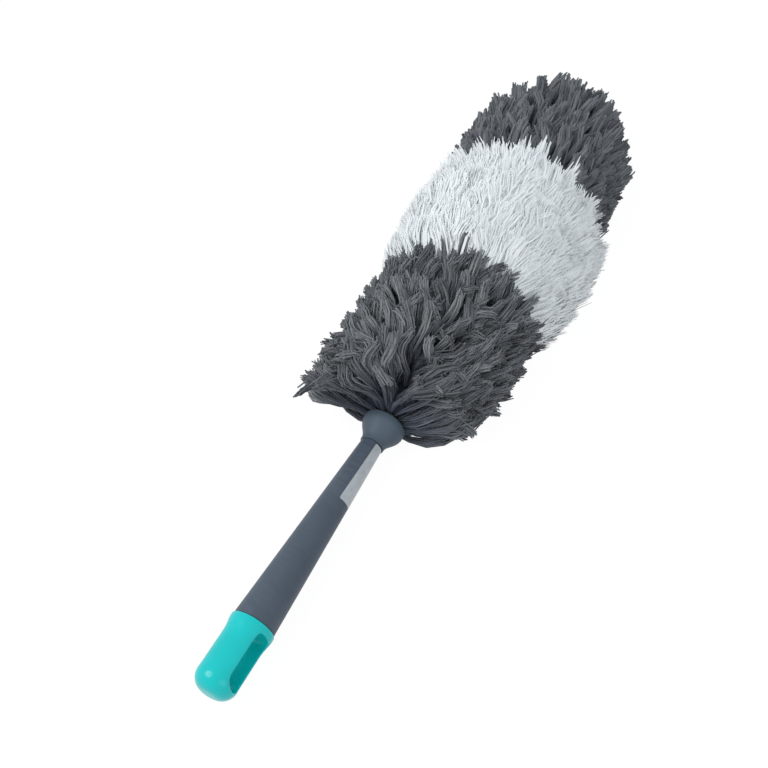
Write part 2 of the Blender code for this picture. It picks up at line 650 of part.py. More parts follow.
def add_strand(bm, root, root_x, column_angle, dice):
    """One tapering four-sided strand, from its cell on the sleeve to its tip."""
    angle = swirled(column_angle, root_x - SLEEVE_X)
    side = ((1.0 + math.cos(math.radians(angle - SPLAY_ANGLE))) / 2) ** 2
    end_x, end_r = strand_end(root_x - SLEEVE_X, side)
    end_x += SLEEVE_X + dice.uniform(-STRAND_TIP_SCATTER, STRAND_TIP_SCATTER) * RING_PITCH
    short = dice.uniform(-STRAND_TIP_SHORT, STRAND_TIP_SCATTER) * RING_PITCH
    end_r += short * min(1.0, end_r / LOWER_GREY_RADIUS)
    half_column = 180.0 / STRAND_COLUMNS
    middle_x = root_x + STRAND_BEND * max(end_x - root_x, 0.0)
    middle_r = between(SLEEVE_RADIUS, end_r, 0.5)
    lean = math.atan2(end_x - root_x, max(end_r - SLEEVE_RADIUS, RING_PITCH))
    lean_end = math.atan2(end_x - middle_x, max(end_r - middle_r, RING_PITCH))
    drift = half_column * dice.uniform(-STRAND_DRIFT, STRAND_DRIFT)
    spread = half_column * STRAND_FULLNESS
    tip_spread = half_column * STRAND_TIP_FULLNESS
    tip_drift = half_column * dice.uniform(-STRAND_TIP_DRIFT, STRAND_TIP_DRIFT)
    rings = [
        root,
        strand_section(bm, middle_x, middle_r, angle + drift, spread, STRAND_THICKNESS, lean),
        strand_section(bm, end_x, end_r, angle + tip_drift, tip_spread, STRAND_TIP_THICKNESS, lean_end),
    ]
    for low, high in zip(rings, rings[1:]):
        for corner in range(4):
            following = (corner + 1) % 4
            bm.faces.new((low[corner], low[following], high[following], high[corner]))
    bm.faces.new(rings[-1])


def cut_flat(bm):
    """Cut off what reaches below the surface, which leaves flats to lie on."""
    geometry = bm.verts[:] + bm.edges[:] + bm.faces[:]
    bmesh.ops.bisect_plane(bm, geom=geometry, dist=1e-7, plane_co=(0, 0, REST_Z),
                           plane_no=(0, 0, -1), clear_outer=True)
    open_edges = [edge for edge in bm.edges if edge.is_boundary]
    if open_edges:
        bmesh.ops.holes_fill(bm, edges=open_edges, sides=0)


def strand_band(name, start_x, length, material, group, dice):
    """A slice of the fabric sleeve with its rings of strands."""
    rings = round(length / RING_PITCH)
    rear_x = start_x + FIT / 2
    pitch = (length - FIT) / rings
    step = 360.0 / STRAND_COLUMNS
    bm = bmesh.new()
    angles = [-90.0 + step * column for column in range(STRAND_COLUMNS)]

    def ring_of_points(x, radius, root):
        points = [settled(x, radius, swirled(angle, root)) for angle in angles]
        return [bm.verts.new(point) for point in points]

    places = [rear_x + pitch * ring for ring in range(rings + 1)]
    rows = [ring_of_points(x, SLEEVE_RADIUS, x - SLEEVE_X) for x in places]
    bore = [ring_of_points(x, SLEEVE_BORE, 0.0) for x in (places[0], places[-1])]
    for column in range(STRAND_COLUMNS):
        beside = (column + 1) % STRAND_COLUMNS
        for ring in range(rings):
            low = rows[ring]
            high = rows[ring + 1]
            cell = [low[column], high[column], high[beside], low[beside]]
            if (ring + column) % 2:
                bm.faces.new(cell)
            else:
                root_x = rear_x + pitch * (ring + 0.5)
                add_strand(bm, cell, root_x, angles[column] + step / 2, dice)
        bm.faces.new((bore[0][column], bore[0][beside], bore[1][beside], bore[1][column]))
        bm.faces.new((bore[0][column], rows[0][column], rows[0][beside], bore[0][beside]))
        bm.faces.new((bore[1][column], bore[1][beside], rows[-1][beside], rows[-1][column]))
    cut_flat(bm)
    return add_piece(name, bm, material, group)


def build():
    clear_scene()
    turquoise = finish("turquoise", TURQUOISE, 0.35)
    slate = finish("slate", SLATE, 0.55)
    silver = finish("label silver", SILVER, 0.4)
    steel = finish("steel", STEEL, 0.3, 1.0)
    plastic = finish("black plastic", BLACK_PLASTIC, 0.5)
    foam = finish("foam", FOAM_GREY, 0.9)
    grey = finish("grey fibre", GREY_FIBRE, 0.9)
    white = finish("white fibre", WHITE_FIBRE, 0.9)

    handle = empty("handle")
    middle = empty("middle_slide", MIDDLE_BUSH_X, handle)
    inner = empty("inner_slide", INNER_BUSH_X)
    head = empty("head_turn", COLLAR_X)

    hang_cap(handle, turquoise)
    grip_shell(handle, slate)
    grip_label(handle, silver)
    outer_stage(handle, steel, plastic)
    middle_stage(middle, steel, plastic)
    inner_stage(inner, steel, plastic)
    neck_joint(head, steel, plastic)
    neck_collar(head, slate)
    head_core(head, steel, plastic, foam)
    dice = random.Random(7)
    strand_band("lower_grey_strands", SLEEVE_X, LOWER_GREY_LENGTH, grey, head, dice)
    strand_band("white_strands", WHITE_X, WHITE_LENGTH, white, head, dice)
    strand_band("upper_grey_strands", UPPER_X, UPPER_GREY_LENGTH, grey, head, dice)

    swage = SWAGE_LENGTH + SWAGE_SLOPE + FIT
    print("middle tube travel", round(TUBE_MOUTH_X - swage - (MIDDLE_BUSH_X + BUSH_BODY), 5))
    print("inner tube travel", round(TUBE_MOUTH_X - swage - (INNER_BUSH_X + BUSH_BODY), 5))


build()
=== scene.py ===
# %% [markdown]
# # An extendable microfibre duster
#
# The real object is a hanging cap and a tapering grip of moulded plastic, steel tubes that slide out
# of the grip, a bell-shaped collar, and a long soft head whose strands are sewn on a fabric sleeve.
# The model of it is loaded first and is never moved. This file gives every piece its looks:
# fine meshes for what shows, thousands of strands for the head, and a material for each finish.

import math

import bpy
import numpy as np
from mathutils import Matrix, Vector


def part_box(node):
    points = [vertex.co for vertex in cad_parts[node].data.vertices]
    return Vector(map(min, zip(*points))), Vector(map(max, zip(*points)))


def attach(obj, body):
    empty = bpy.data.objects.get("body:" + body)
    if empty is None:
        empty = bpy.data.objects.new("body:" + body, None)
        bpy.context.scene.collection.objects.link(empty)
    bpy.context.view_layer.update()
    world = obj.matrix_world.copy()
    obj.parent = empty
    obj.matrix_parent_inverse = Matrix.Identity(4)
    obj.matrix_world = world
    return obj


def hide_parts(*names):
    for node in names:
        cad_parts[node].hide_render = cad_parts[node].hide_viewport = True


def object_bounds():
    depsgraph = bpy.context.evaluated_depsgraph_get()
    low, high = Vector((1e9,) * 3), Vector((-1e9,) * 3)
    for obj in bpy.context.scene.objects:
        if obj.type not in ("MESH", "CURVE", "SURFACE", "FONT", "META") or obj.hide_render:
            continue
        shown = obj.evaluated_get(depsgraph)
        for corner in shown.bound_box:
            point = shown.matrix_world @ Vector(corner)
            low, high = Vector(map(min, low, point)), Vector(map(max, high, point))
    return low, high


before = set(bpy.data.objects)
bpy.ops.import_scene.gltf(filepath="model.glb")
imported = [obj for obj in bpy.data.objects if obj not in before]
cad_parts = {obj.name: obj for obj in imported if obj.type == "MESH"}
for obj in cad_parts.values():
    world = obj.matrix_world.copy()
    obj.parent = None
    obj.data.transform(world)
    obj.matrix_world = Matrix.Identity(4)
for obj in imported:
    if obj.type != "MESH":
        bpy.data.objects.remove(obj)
cad_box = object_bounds()
print("nodes", len(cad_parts), "box", [[round(v, 4) for v in corner] for corner in cad_box])

# %% [markdown]
# ## Reading sizes from the model
#
# A piece that is made finer here has to fit exactly where its plain solid is. Rather than typing
# sizes again, two small helpers read them from the loaded meshes: all points of a node, and the
# radius of a turned node at some place along the duster, whose axis is the X axis.


# %% Helpers that read the model
RING_REACH = 0.0003


def node_points(node):
    """All points of a node, as an array with a row for each."""
    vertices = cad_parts[node].data.vertices
    flat = np.empty(len(vertices) * 3)
    vertices.foreach_get("co", flat)
    return flat.reshape(-1, 3)


def radii_at(node, x):
    """The least and the largest radius of a turned node's points near x."""
    points = node_points(node)
    near = points[abs(points[:, 0] - x) < RING_REACH]
    radius = np.hypot(near[:, 1], near[:, 2])
    return float(radius.min()), float(radius.max())


cap_low, cap_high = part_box("hang_cap")
grip_low, grip_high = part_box("grip_shell")
collar_low, collar_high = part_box("neck_collar")
floor_z = cad_box[0][2]
print("grip from", round(grip_low.x, 4), "to", round(grip_high.x, 4), "floor", round(floor_z, 4))

# %% [markdown]
# ## Modelling helpers
#
# Operators act on whatever is selected, and the loaded nodes start out selected, so everything is
# deselected before each new primitive. Most hard pieces here are turned, so one helper draws them
# all: it adds a circle round the axis, then extrudes it from station to station and resizes each new
# ring to its radius. That is the same as turning a profile on a lathe, but it can be followed ring
# by ring in edit mode. Spin would do it too, at the price of a seam to merge.


# %% Helpers for modelling
CREASE_ANGLE = math.radians(35)


def deselect_all():
    """Back to object mode with nothing selected."""
    if bpy.context.mode != "OBJECT":
        bpy.ops.object.mode_set(mode="OBJECT")
    bpy.ops.object.select_all(action="DESELECT")


def make_active(piece):
    """Select this piece alone."""
    deselect_all()
    piece.select_set(True)
    bpy.context.view_layer.objects.active = piece


def settle_transform(piece):
    """Put the piece's place into its mesh, so that its object sits at the origin, unturned."""
    make_active(piece)
    bpy.ops.object.transform_apply(location=True, rotation=True, scale=True)


def use_modifier(piece, kind, **settings):
    """Add a modifier, set it and apply it."""
    make_active(piece)
    modifier = piece.modifiers.new(kind.lower(), kind)
    for setting, value in settings.items():
        setattr(modifier, setting, value)
    bpy.ops.object.modifier_apply(modifier=modifier.name)


def smooth(piece):
    """Smooth shading, with edges sharper than the crease angle kept crisp."""
    make_active(piece)
    bpy.ops.object.shade_smooth_by_angle(angle=CREASE_ANGLE)


# %% Helpers for turned pieces
def face_outwards(piece):
    """Merge doubled points, and turn every face to the outside."""
    make_active(piece)
    bpy.ops.object.mode_set(mode="EDIT")
    bpy.ops.mesh.select_all(action="SELECT")
    bpy.ops.mesh.remove_doubles(threshold=1e-6)
    bpy.ops.mesh.normals_make_consistent(inside=False)
    bpy.ops.object.mode_set(mode="OBJECT")


def round_outline(centre_x, centre_r, radius, start, end, steps):
    """Stations of a round corner; angles in degrees from +X towards the outside."""
    angles = [math.radians(start + (end - start) * step / steps) for step in range(steps + 1)]
    return [(centre_x + radius * math.cos(a), centre_r + radius * math.sin(a)) for a in angles]


def turned_piece(name, stations, sides=96, closed=True):
    """Extrude and resize a circle through (x, radius) stations along the duster.

    A closed outline comes back to its first station, as a tube's wall does. An open one starts and
    ends with a small disc round the axis.
    """
    deselect_all()
    x, radius = stations[0]
    fill = "NOTHING" if closed else "NGON"
    across = (0, math.pi / 2, 0)
    bpy.ops.mesh.primitive_circle_add(
        vertices=sides, radius=radius, fill_type=fill, location=(x, 0, 0), rotation=across)
    piece = bpy.context.object
    piece.name = name
    piece.data.name = name
    settle_transform(piece)
    bpy.ops.object.mode_set(mode="EDIT")
    bpy.ops.mesh.select_all(action="SELECT")
    rest = stations[1:] + stations[:1] if closed else stations[1:]
    for next_x, next_radius in rest:
        bpy.ops.mesh.extrude_region_move(TRANSFORM_OT_translate={"value": (next_x - x, 0, 0)})
        grow = next_radius / radius
        bpy.ops.transform.resize(value=(1, grow, grow), center_override=(next_x, 0, 0))
        x, radius = next_x, next_radius
    face_outwards(piece)
    return piece


# %% Helpers that add and finish pieces
def add_object(name, data):
    """A new object in the scene, with its place at the origin."""
    made = bpy.data.objects.new(name, data)
    bpy.context.scene.collection.objects.link(made)
    return made


def hand_over(piece, material, node, body):
    """Give a piece its material, hide the node it stands for, hang it on the body it rides on, and
    report it.
    """
    piece.data.materials.append(material)
    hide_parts(node)
    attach(piece, body)
    piece.data.calc_loop_triangles()
    print("made", piece.name, "with", len(piece.data.loop_triangles), "triangles")

# %% [markdown]
# ## Materials for the plastics, the steel and the film
#
# Moulded plastic is one colour all through, so its colour varies only a little. What tells the
# finishes apart is the surface: the cap is smooth and shiny, the grip is softly blasted, and the
# sticker is a smooth metallised film. Each gets its own grain as a bump, in real sizes, with the noise
# read from Object coordinates, which here are metres.


# %% Helpers for materials
def new_material(name):
    """A material, its node tree and its Principled shader."""
    material = bpy.data.materials.new(name)
    material.use_nodes = True
    return material, material.node_tree, material.node_tree.nodes["Principled BSDF"]


def linear(red, green, blue):
    """A colour written as screen values from 0 to 255, as the shader wants it."""
    def to_linear(value):
        share = value / 255
        return share / 12.92 if share <= 0.04045 else ((share + 0.055) / 1.055) ** 2.4
    return (to_linear(red), to_linear(green), to_linear(blue), 1.0)


def plug(socket, value):
    """Link another node's output to a socket, or set the socket to a plain value."""
    if isinstance(value, bpy.types.NodeSocket):
        socket.id_data.links.new(value, socket)
    else:
        socket.default_value = value


def feed(node, **inputs):
    """Plug values into a node's inputs. In their names _ stands for a space."""
    for name, value in inputs.items():
        plug(node.inputs[name.replace("_", " ")], value)
    return node


def add_node(tree, kind, **inputs):
    """A new shader node with its inputs fed."""
    return feed(tree.nodes.new("ShaderNode" + kind), **inputs)


# %% Patterns for materials
def grain(tree, size, detail=2.0, stretch=(1.0, 1.0, 1.0)):
    """Noise with grains of a real size in metres, from 0 to 1."""
    place = add_node(tree, "TexCoord").outputs["Object"]
    mapped = add_node(tree, "Mapping", Vector=place, Scale=stretch).outputs["Vector"]
    return add_node(tree, "TexNoise", Vector=mapped, Scale=1.0 / size, Detail=detail).outputs["Fac"]


def vary_value(tree, share, low, high):
    """Map a 0 to 1 value to a range."""
    return add_node(tree, "MapRange", Value=share, To_Min=low, To_Max=high).outputs["Result"]


def vary_colour(tree, share, *stops):
    """Map a 0 to 1 value to colours, given as (place, colour) stops."""
    ramp = add_node(tree, "ValToRGB", Fac=share)
    elements = ramp.color_ramp.elements
    while len(elements) < len(stops):
        elements.new(0.5)
    for element, (place, colour) in zip(elements, stops):
        element.position = place
        element.color = colour
    return ramp.outputs["Color"]


def bump(tree, height, distance):
    """Let a 0 to 1 height move the surface by up to the distance in metres."""
    return add_node(tree, "Bump", Height=height, Strength=1.0, Distance=distance).outputs["Normal"]


# %% Moulded plastic
MOTTLE_SIZE = 0.02
POLISH_SPREAD = 0.06


def plastic(name, light, dark, roughness, grain_size, grain_depth, specular=0.3):
    """Moulded plastic with a faint mottle and a fine surface grain."""
    material, tree, shader = new_material(name)
    fine = grain(tree, grain_size)
    feed(shader, Specular_IOR_Level=specular,
         Base_Color=vary_colour(tree, grain(tree, MOTTLE_SIZE), (0.3, dark), (0.7, light)),
         Roughness=vary_value(tree, fine, roughness - POLISH_SPREAD, roughness + POLISH_SPREAD),
         Normal=bump(tree, fine, grain_depth))
    return material


# %% Steel and film
DRAWING_MARK_WIDTH = 0.0004
DRAWING_MARK_DEPTH = 0.000006
DARK_STEEL = linear(178, 180, 183)
LIGHT_STEEL = linear(192, 194, 197)
FILM_CLOUD_SIZE = 0.006
FILM_CLOUD_DEPTH = 0.00005
DARK_FILM = linear(158, 164, 168)
LIGHT_FILM = linear(174, 180, 184)


def drawn_steel():
    """Chromed steel tube, with fine drawing marks along it."""
    material, tree, shader = new_material("drawn_steel")
    marks = grain(tree, DRAWING_MARK_WIDTH, stretch=(0.02, 1.0, 1.0))
    feed(shader, Metallic=1.0,
         Base_Color=vary_colour(tree, marks, (0.3, DARK_STEEL), (0.7, LIGHT_STEEL)),
         Roughness=vary_value(tree, marks, 0.14, 0.26),
         Normal=bump(tree, marks, DRAWING_MARK_DEPTH))
    return material


def label_film():
    """Bare silver-white sticker film, a little cloudy."""
    material, tree, shader = new_material("label_film")
    cloud = grain(tree, FILM_CLOUD_SIZE)
    feed(shader, Metallic=0.25,
         Base_Color=vary_colour(tree, cloud, (0.3, DARK_FILM), (0.7, LIGHT_FILM)),
         Roughness=vary_value(tree, cloud, 0.34, 0.46),
         Normal=bump(tree, cloud, FILM_CLOUD_DEPTH))
    return material


# %% Mix the materials of the hard pieces
cap_plastic = plastic(
    "cap_plastic", linear(4, 187, 187), linear(2, 181, 180),
    roughness=0.20, grain_size=0.0009, grain_depth=0.00002)
grip_plastic = plastic(
    "grip_plastic", linear(72, 83, 95), linear(66, 77, 89),
    roughness=0.52, grain_size=0.0006, grain_depth=0.00004)
collar_plastic = plastic(
    "collar_plastic", linear(74, 87, 98), linear(69, 81, 93),
    roughness=0.55, grain_size=0.0005, grain_depth=0.00005)
black_plastic = plastic(
    "black_plastic", linear(42, 44, 47), linear(34, 36, 39),
    roughness=0.45, grain_size=0.0008, grain_depth=0.00003, specular=0.5)
steel = drawn_steel()
film = label_film()
print("materials", sorted(material.name for material in bpy.data.materials))

# %% [markdown]
# ## The hanging cap
#
# The cap is a round bar end with a slot right through it, so that the duster can hang on a hook. It
# is extruded ring by ring, and the slot is cut with a Boolean. The cutter is a cube whose four long
# edges are bevelled, more at the rear than at the front. On the real cap every rim of the slot is
# softly rounded. A bevel along the cut would have to follow a curve where a plane meets a cylinder,
# which tears easily, so the shape is remeshed into even small faces and smoothed, as polishing does.
# Smoothing opens the slot, so it is cut a millimetre small all round. It is strongest round the slot
# and fades out before the seam, whose edge stays crisp.

# %% Sizes of the hanging cap
CAP_ROUNDING = 0.0115
CAP_COLLAR_LENGTH = 0.002
CAP_FLARE = 0.012
FLARE_STEPS = 12
SEAM_GAP = 0.0004
SEAM_EDGE = 0.0006
SPIGOT_TAPER = 0.0005
CAP_VOXEL = 0.00045
RIM_OPENING = 0.0010
RIM_FADE = 0.0025
ALL_OVER_POLISH = 10
SLOT_POLISH = 110
SLOT_LENGTH = 0.0435
SLOT_HEIGHT = 0.021
SLOT_REAR_CORNER = 0.008
SLOT_FRONT_CORNER = 0.003
SLOT_ROLL = math.radians(12)

cap_seam_x = grip_low.x - SEAM_GAP
cap_collar_r = cap_high.z
cap_body_r = radii_at("hang_cap", cap_low.x + CAP_ROUNDING)[1]
print("cap radius", round(cap_body_r, 4), "and at its collar", round(cap_collar_r, 4))


# %% Profile of the cap and cutter of its slot
def cap_profile():
    """Stations of the cap from its round end to the far end of the spigot inside the grip."""
    end_x = cap_low.x
    flat_r = cap_body_r - CAP_ROUNDING
    collar_x = cap_seam_x - CAP_COLLAR_LENGTH
    spigot_r = radii_at("grip_shell", grip_low.x)[0] - SEAM_GAP
    stations = [(end_x, flat_r * 0.1)]
    stations += round_outline(end_x + CAP_ROUNDING, flat_r, CAP_ROUNDING, 180, 90, 18)
    for step in range(FLARE_STEPS + 1):
        rise = (1 - math.cos(math.pi * step / FLARE_STEPS)) / 2
        place = collar_x - CAP_FLARE * (1 - step / FLARE_STEPS)
        stations.append((place, cap_body_r + (cap_collar_r - cap_body_r) * rise))
    stations += round_outline(cap_seam_x - SEAM_EDGE, cap_collar_r - SEAM_EDGE, SEAM_EDGE, 90, 0, 4)
    stations += [
        (cap_seam_x, spigot_r),
        (cap_high.x, spigot_r - SPIGOT_TAPER),
        (cap_high.x, spigot_r * 0.05),
    ]
    return stations


def slot_cutter():
    """A cube stretched along Y, with its long edges bevelled, most at the rear, and rolled."""
    deselect_all()
    bpy.ops.mesh.primitive_cube_add(size=1, location=(SLOT_LENGTH / 2, 0, 0))
    cutter = bpy.context.object
    cutter.scale = (SLOT_LENGTH - 2 * RIM_OPENING, 3 * cap_collar_r, SLOT_HEIGHT - 2 * RIM_OPENING)
    settle_transform(cutter)
    corners = ((RIM_OPENING, SLOT_REAR_CORNER), (SLOT_LENGTH - RIM_OPENING, SLOT_FRONT_CORNER))
    for place, radius in corners:
        bpy.ops.object.mode_set(mode="EDIT")
        bpy.ops.mesh.select_mode(type="EDGE")
        bpy.ops.mesh.select_all(action="DESELECT")
        bpy.ops.object.mode_set(mode="OBJECT")
        for edge in cutter.data.edges:
            first, second = (cutter.data.vertices[index].co for index in edge.vertices)
            edge.select = abs(first.y - second.y) > cap_collar_r and abs(first.x - place) < 0.0001
        bpy.ops.object.mode_set(mode="EDIT")
        bpy.ops.mesh.bevel(offset=radius, segments=10, affect="EDGES")
        bpy.ops.object.mode_set(mode="OBJECT")
    cutter.rotation_euler.x = -SLOT_ROLL
    settle_transform(cutter)
    return cutter


# %% Make the hanging cap
def make_cap():
    cap = turned_piece("cap_shell", cap_profile(), closed=False)
    cutter = slot_cutter()
    use_modifier(cap, "BOOLEAN", operation="DIFFERENCE", solver="EXACT", object=cutter)
    bpy.data.objects.remove(cutter)
    use_modifier(cap, "REMESH", mode="VOXEL", voxel_size=CAP_VOXEL)
    use_modifier(cap, "SMOOTH", factor=0.5, iterations=ALL_OVER_POLISH)
    around_slot = cap.vertex_groups.new(name="around_slot")
    seam_zone = cap_seam_x - CAP_COLLAR_LENGTH / 4
    for vertex in cap.data.vertices:
        weight = min(max((seam_zone - vertex.co.x) / RIM_FADE, 0.0), 1.0)
        around_slot.add([vertex.index], weight, "REPLACE")
    use_modifier(cap, "SMOOTH", factor=0.5, iterations=SLOT_POLISH, vertex_group="around_slot")
    make_active(cap)
    bpy.ops.object.shade_smooth()
    cap.data.materials.clear()
    hand_over(cap, cap_plastic, "hang_cap", "handle")


make_cap()

# %% [markdown]
# ## The grip
#
# The grip is a straight taper with a thin wall. Its two ends are slightly rounded, and its surface is
# a soft matt with very faint marks across it, left by the way such a long thin moulding shrinks. The
# marks are far too shallow for geometry, so they are a stretched noise in the bump.

# %% Grip
GRIP_EDGE = 0.0005
GRIP_ENDS = 0.01
GRIP_STEPS = 20
SHRINK_MARK_SIZE = 0.004
SHRINK_MARK_DEPTH = 0.0008


def grip_stations():
    """Outer taper with rounded ends, then back through the bore."""
    rear_r = radii_at("grip_shell", grip_low.x + GRIP_EDGE)[1]
    mouth_r = radii_at("grip_shell", grip_high.x - GRIP_EDGE)[1]
    rear_bore = radii_at("grip_shell", grip_low.x)[0]
    mouth_bore = radii_at("grip_shell", grip_high.x)[0]
    stations = round_outline(grip_low.x + GRIP_EDGE, rear_r - GRIP_EDGE, GRIP_EDGE, 180, 90, 4)
    for step in range(1, GRIP_STEPS):
        share = step / GRIP_STEPS
        x = grip_low.x + (grip_high.x - grip_low.x) * share
        stations.append((x, rear_r + (mouth_r - rear_r) * share))
    stations += round_outline(grip_high.x - GRIP_EDGE, mouth_r - GRIP_EDGE, GRIP_EDGE, 90, 0, 4)
    places = node_points("grip_shell")[:, 0]
    inside = (places > grip_low.x + GRIP_ENDS) & (places < grip_high.x - GRIP_ENDS)
    land_x = float(places[inside].max())
    stations += [(grip_high.x, mouth_bore), (land_x, mouth_bore), (grip_low.x, rear_bore)]
    return stations


def add_shrink_marks(material):
    """Faint marks across the grip, which the bump of the fine grain is laid over."""
    tree = material.node_tree
    fine_bump = next(node for node in tree.nodes if node.type == "BUMP")
    marks = grain(tree, SHRINK_MARK_SIZE, detail=3.0, stretch=(1.0, 0.25, 0.25))
    feed(fine_bump, Normal=bump(tree, marks, SHRINK_MARK_DEPTH))


def make_grip():
    add_shrink_marks(grip_plastic)
    grip = turned_piece("grip_skin", grip_stations())
    smooth(grip)
    hand_over(grip, grip_plastic, "grip_shell", "handle")


make_grip()

# %% [markdown]
# ## The sticker
#
# A bare strip of silver film is wrapped round the side of the grip, just behind the collar. It starts
# as a grid, whose points are rolled round the taper in code, because the taper is a cone and a bend
# would not follow it. A Solidify modifier gives it the thickness of a film.

# %% Sticker
LABEL_WIDTH = 0.0225
LABEL_CORNER = 0.0012
LABEL_SKEW = math.radians(1.5)
LABEL_THICKNESS = 0.0002

label_low, label_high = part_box("grip_label")


def make_label():
    length = label_high.x - label_low.x
    points = node_points("grip_label")
    middle = math.atan2(points[:, 2].mean(), points[:, 1].mean())
    rear_r, front_r = (radii_at("grip_label", x)[0] for x in (label_low.x, label_high.x))
    deselect_all()
    bpy.ops.mesh.primitive_grid_add(x_subdivisions=40, y_subdivisions=24, size=1)
    label = bpy.context.object
    label.name = "sticker"
    label.data.name = "sticker"
    for vertex in label.data.vertices:
        along, across = vertex.co.x * length, vertex.co.y * LABEL_WIDTH
        over_x = max(abs(along) - (length / 2 - LABEL_CORNER), 0.0)
        over_y = max(abs(across) - (LABEL_WIDTH / 2 - LABEL_CORNER), 0.0)
        beyond = math.hypot(over_x, over_y)
        if beyond > LABEL_CORNER:
            along -= math.copysign(over_x * (1 - LABEL_CORNER / beyond), along)
            across -= math.copysign(over_y * (1 - LABEL_CORNER / beyond), across)
        share = along / length + 0.5
        radius = rear_r + (front_r - rear_r) * share
        angle = middle + (across + along * math.tan(LABEL_SKEW)) / ((rear_r + front_r) / 2)
        vertex.co = (label_low.x + length * share, radius * math.cos(angle), radius * math.sin(angle))
    use_modifier(label, "SOLIDIFY", thickness=LABEL_THICKNESS, offset=1.0)
    face_outwards(label)
    smooth(label)
    hand_over(label, film, "grip_label", "handle")


make_label()

# %% [markdown]
# ## The collar
#
# The collar is a small bell that covers the sleeve's sewn hem. It has a thin lip where it meets the
# grip, a flank that swells quickly and then runs nearly straight, and a rounded rim.

# %% Collar
COLLAR_LIP = 0.0014
COLLAR_RIM = 0.0014
COLLAR_KNEE = 0.88
COLLAR_STEPS = 20
LIP_EDGE = 0.0006
LIP_CREASE = 0.0004
HOLLOW_WIDENING = 0.0003
ROD_HOLE_REACH = 0.003


def collar_stations():
    """Lip, flank, rim and the hollow behind it, from the same sizes as the solid."""
    lip_r = radii_at("neck_collar", collar_low.x + COLLAR_LIP)[1]
    rim_r = collar_high.z
    bore = radii_at("neck_collar", collar_low.x)[0]
    flank_x = collar_low.x + COLLAR_LIP
    flank = collar_high.x - COLLAR_RIM - flank_x
    stations = [(collar_low.x, bore)]
    stations += round_outline(collar_low.x + LIP_EDGE, lip_r - LIP_EDGE, LIP_EDGE, 180, 90, 4)
    stations += round_outline(flank_x - LIP_CREASE, lip_r - LIP_CREASE, LIP_CREASE, 90, 30, 3)
    for step in range(1, COLLAR_STEPS + 1):
        rise = math.sin(step / COLLAR_STEPS * math.pi / 2) ** 2
        place = flank_x + flank * COLLAR_KNEE * step / COLLAR_STEPS
        stations.append((place, lip_r + (rim_r - lip_r) * rise))
    stations += round_outline(collar_high.x - COLLAR_RIM, rim_r - COLLAR_RIM, COLLAR_RIM, 90, 0, 8)
    points = node_points("neck_collar")
    hole = points[np.hypot(points[:, 1], points[:, 2]) < ROD_HOLE_REACH, 0]
    socket_x, web_x = float(hole.min()), float(hole.max())
    tail, web_r = radii_at("neck_collar", web_x)
    stations += [
        (collar_high.x - COLLAR_RIM, rim_r - COLLAR_RIM + HOLLOW_WIDENING),
        (web_x, web_r),
        (web_x, tail),
        (socket_x, tail),
        (socket_x, bore),
    ]
    return stations


def make_collar():
    collar = turned_piece("collar_bell", collar_stations())
    smooth(collar)
    hand_over(collar, collar_plastic, "neck_collar", "head")


make_collar()

# %% [markdown]
# ## The soft head
#
# The head is a fabric sleeve with thousands of strands sewn on it in rings: grey, white and grey. Its
# strands have three things in common, which make it look soft and not like a brush. They leave the
# sleeve straight out and then bend towards the tip. They hang together in tufts. And the weight of
# the head presses the low ones flat on the surface, while the high ones part along the top and fall
# to both sides. Hair particles could follow such rules too, but they would have to be groomed by hand
# and turned into meshes. Here the rules are written down and worked out for all strands at once with
# numpy, and each strand is built as a thin band of about twenty faces.

# %% Sizes of the head
LOWER_GREY_LENGTH = 0.1175
WHITE_LENGTH = 0.140
UPPER_GREY_LENGTH = 0.135
SLEEVE_RADIUS = 0.0108
SLEEVE_BORE = 0.0093
LOWER_GREY_RADIUS = 0.082
LOWER_SPLAY_RADIUS = 0.083
SPLAY_BACK = 0.018
SPLAY_ANGLE = 30.0
WHITE_RADIUS = 0.096
UPPER_GREY_RADIUS = 0.088
SWEEP = 0.050
WHITE_FRONT_SWEEP = 0.040
SIDE_SWEEP_LOSS = 0.016
DOME_ROOT = 0.060
DOME_START = 0.018
DOME_LENGTH = 0.080
DOME_TURN = 88.0
DOME_STEPS = 8
TOP_LEAN = 0.010
TOP_LEAN_LENGTH = 0.060
PARTING = 100.0
PARTING_FALL = 18.0
PARTING_LENGTH = 0.080
SETTLE_ABOVE = 45.0
FLAT_DEPTH = 0.0005
SLEEVE_GAP = 0.0006

sleeve_x = collar_high.x + SLEEVE_GAP
full_x = LOWER_GREY_LENGTH + WHITE_LENGTH
print("sleeve from", round(sleeve_x, 4), "to", round(sleeve_x + full_x + UPPER_GREY_LENGTH, 4))


# %% Where the strands end
def mix(low, high, share):
    return low + (high - low) * share


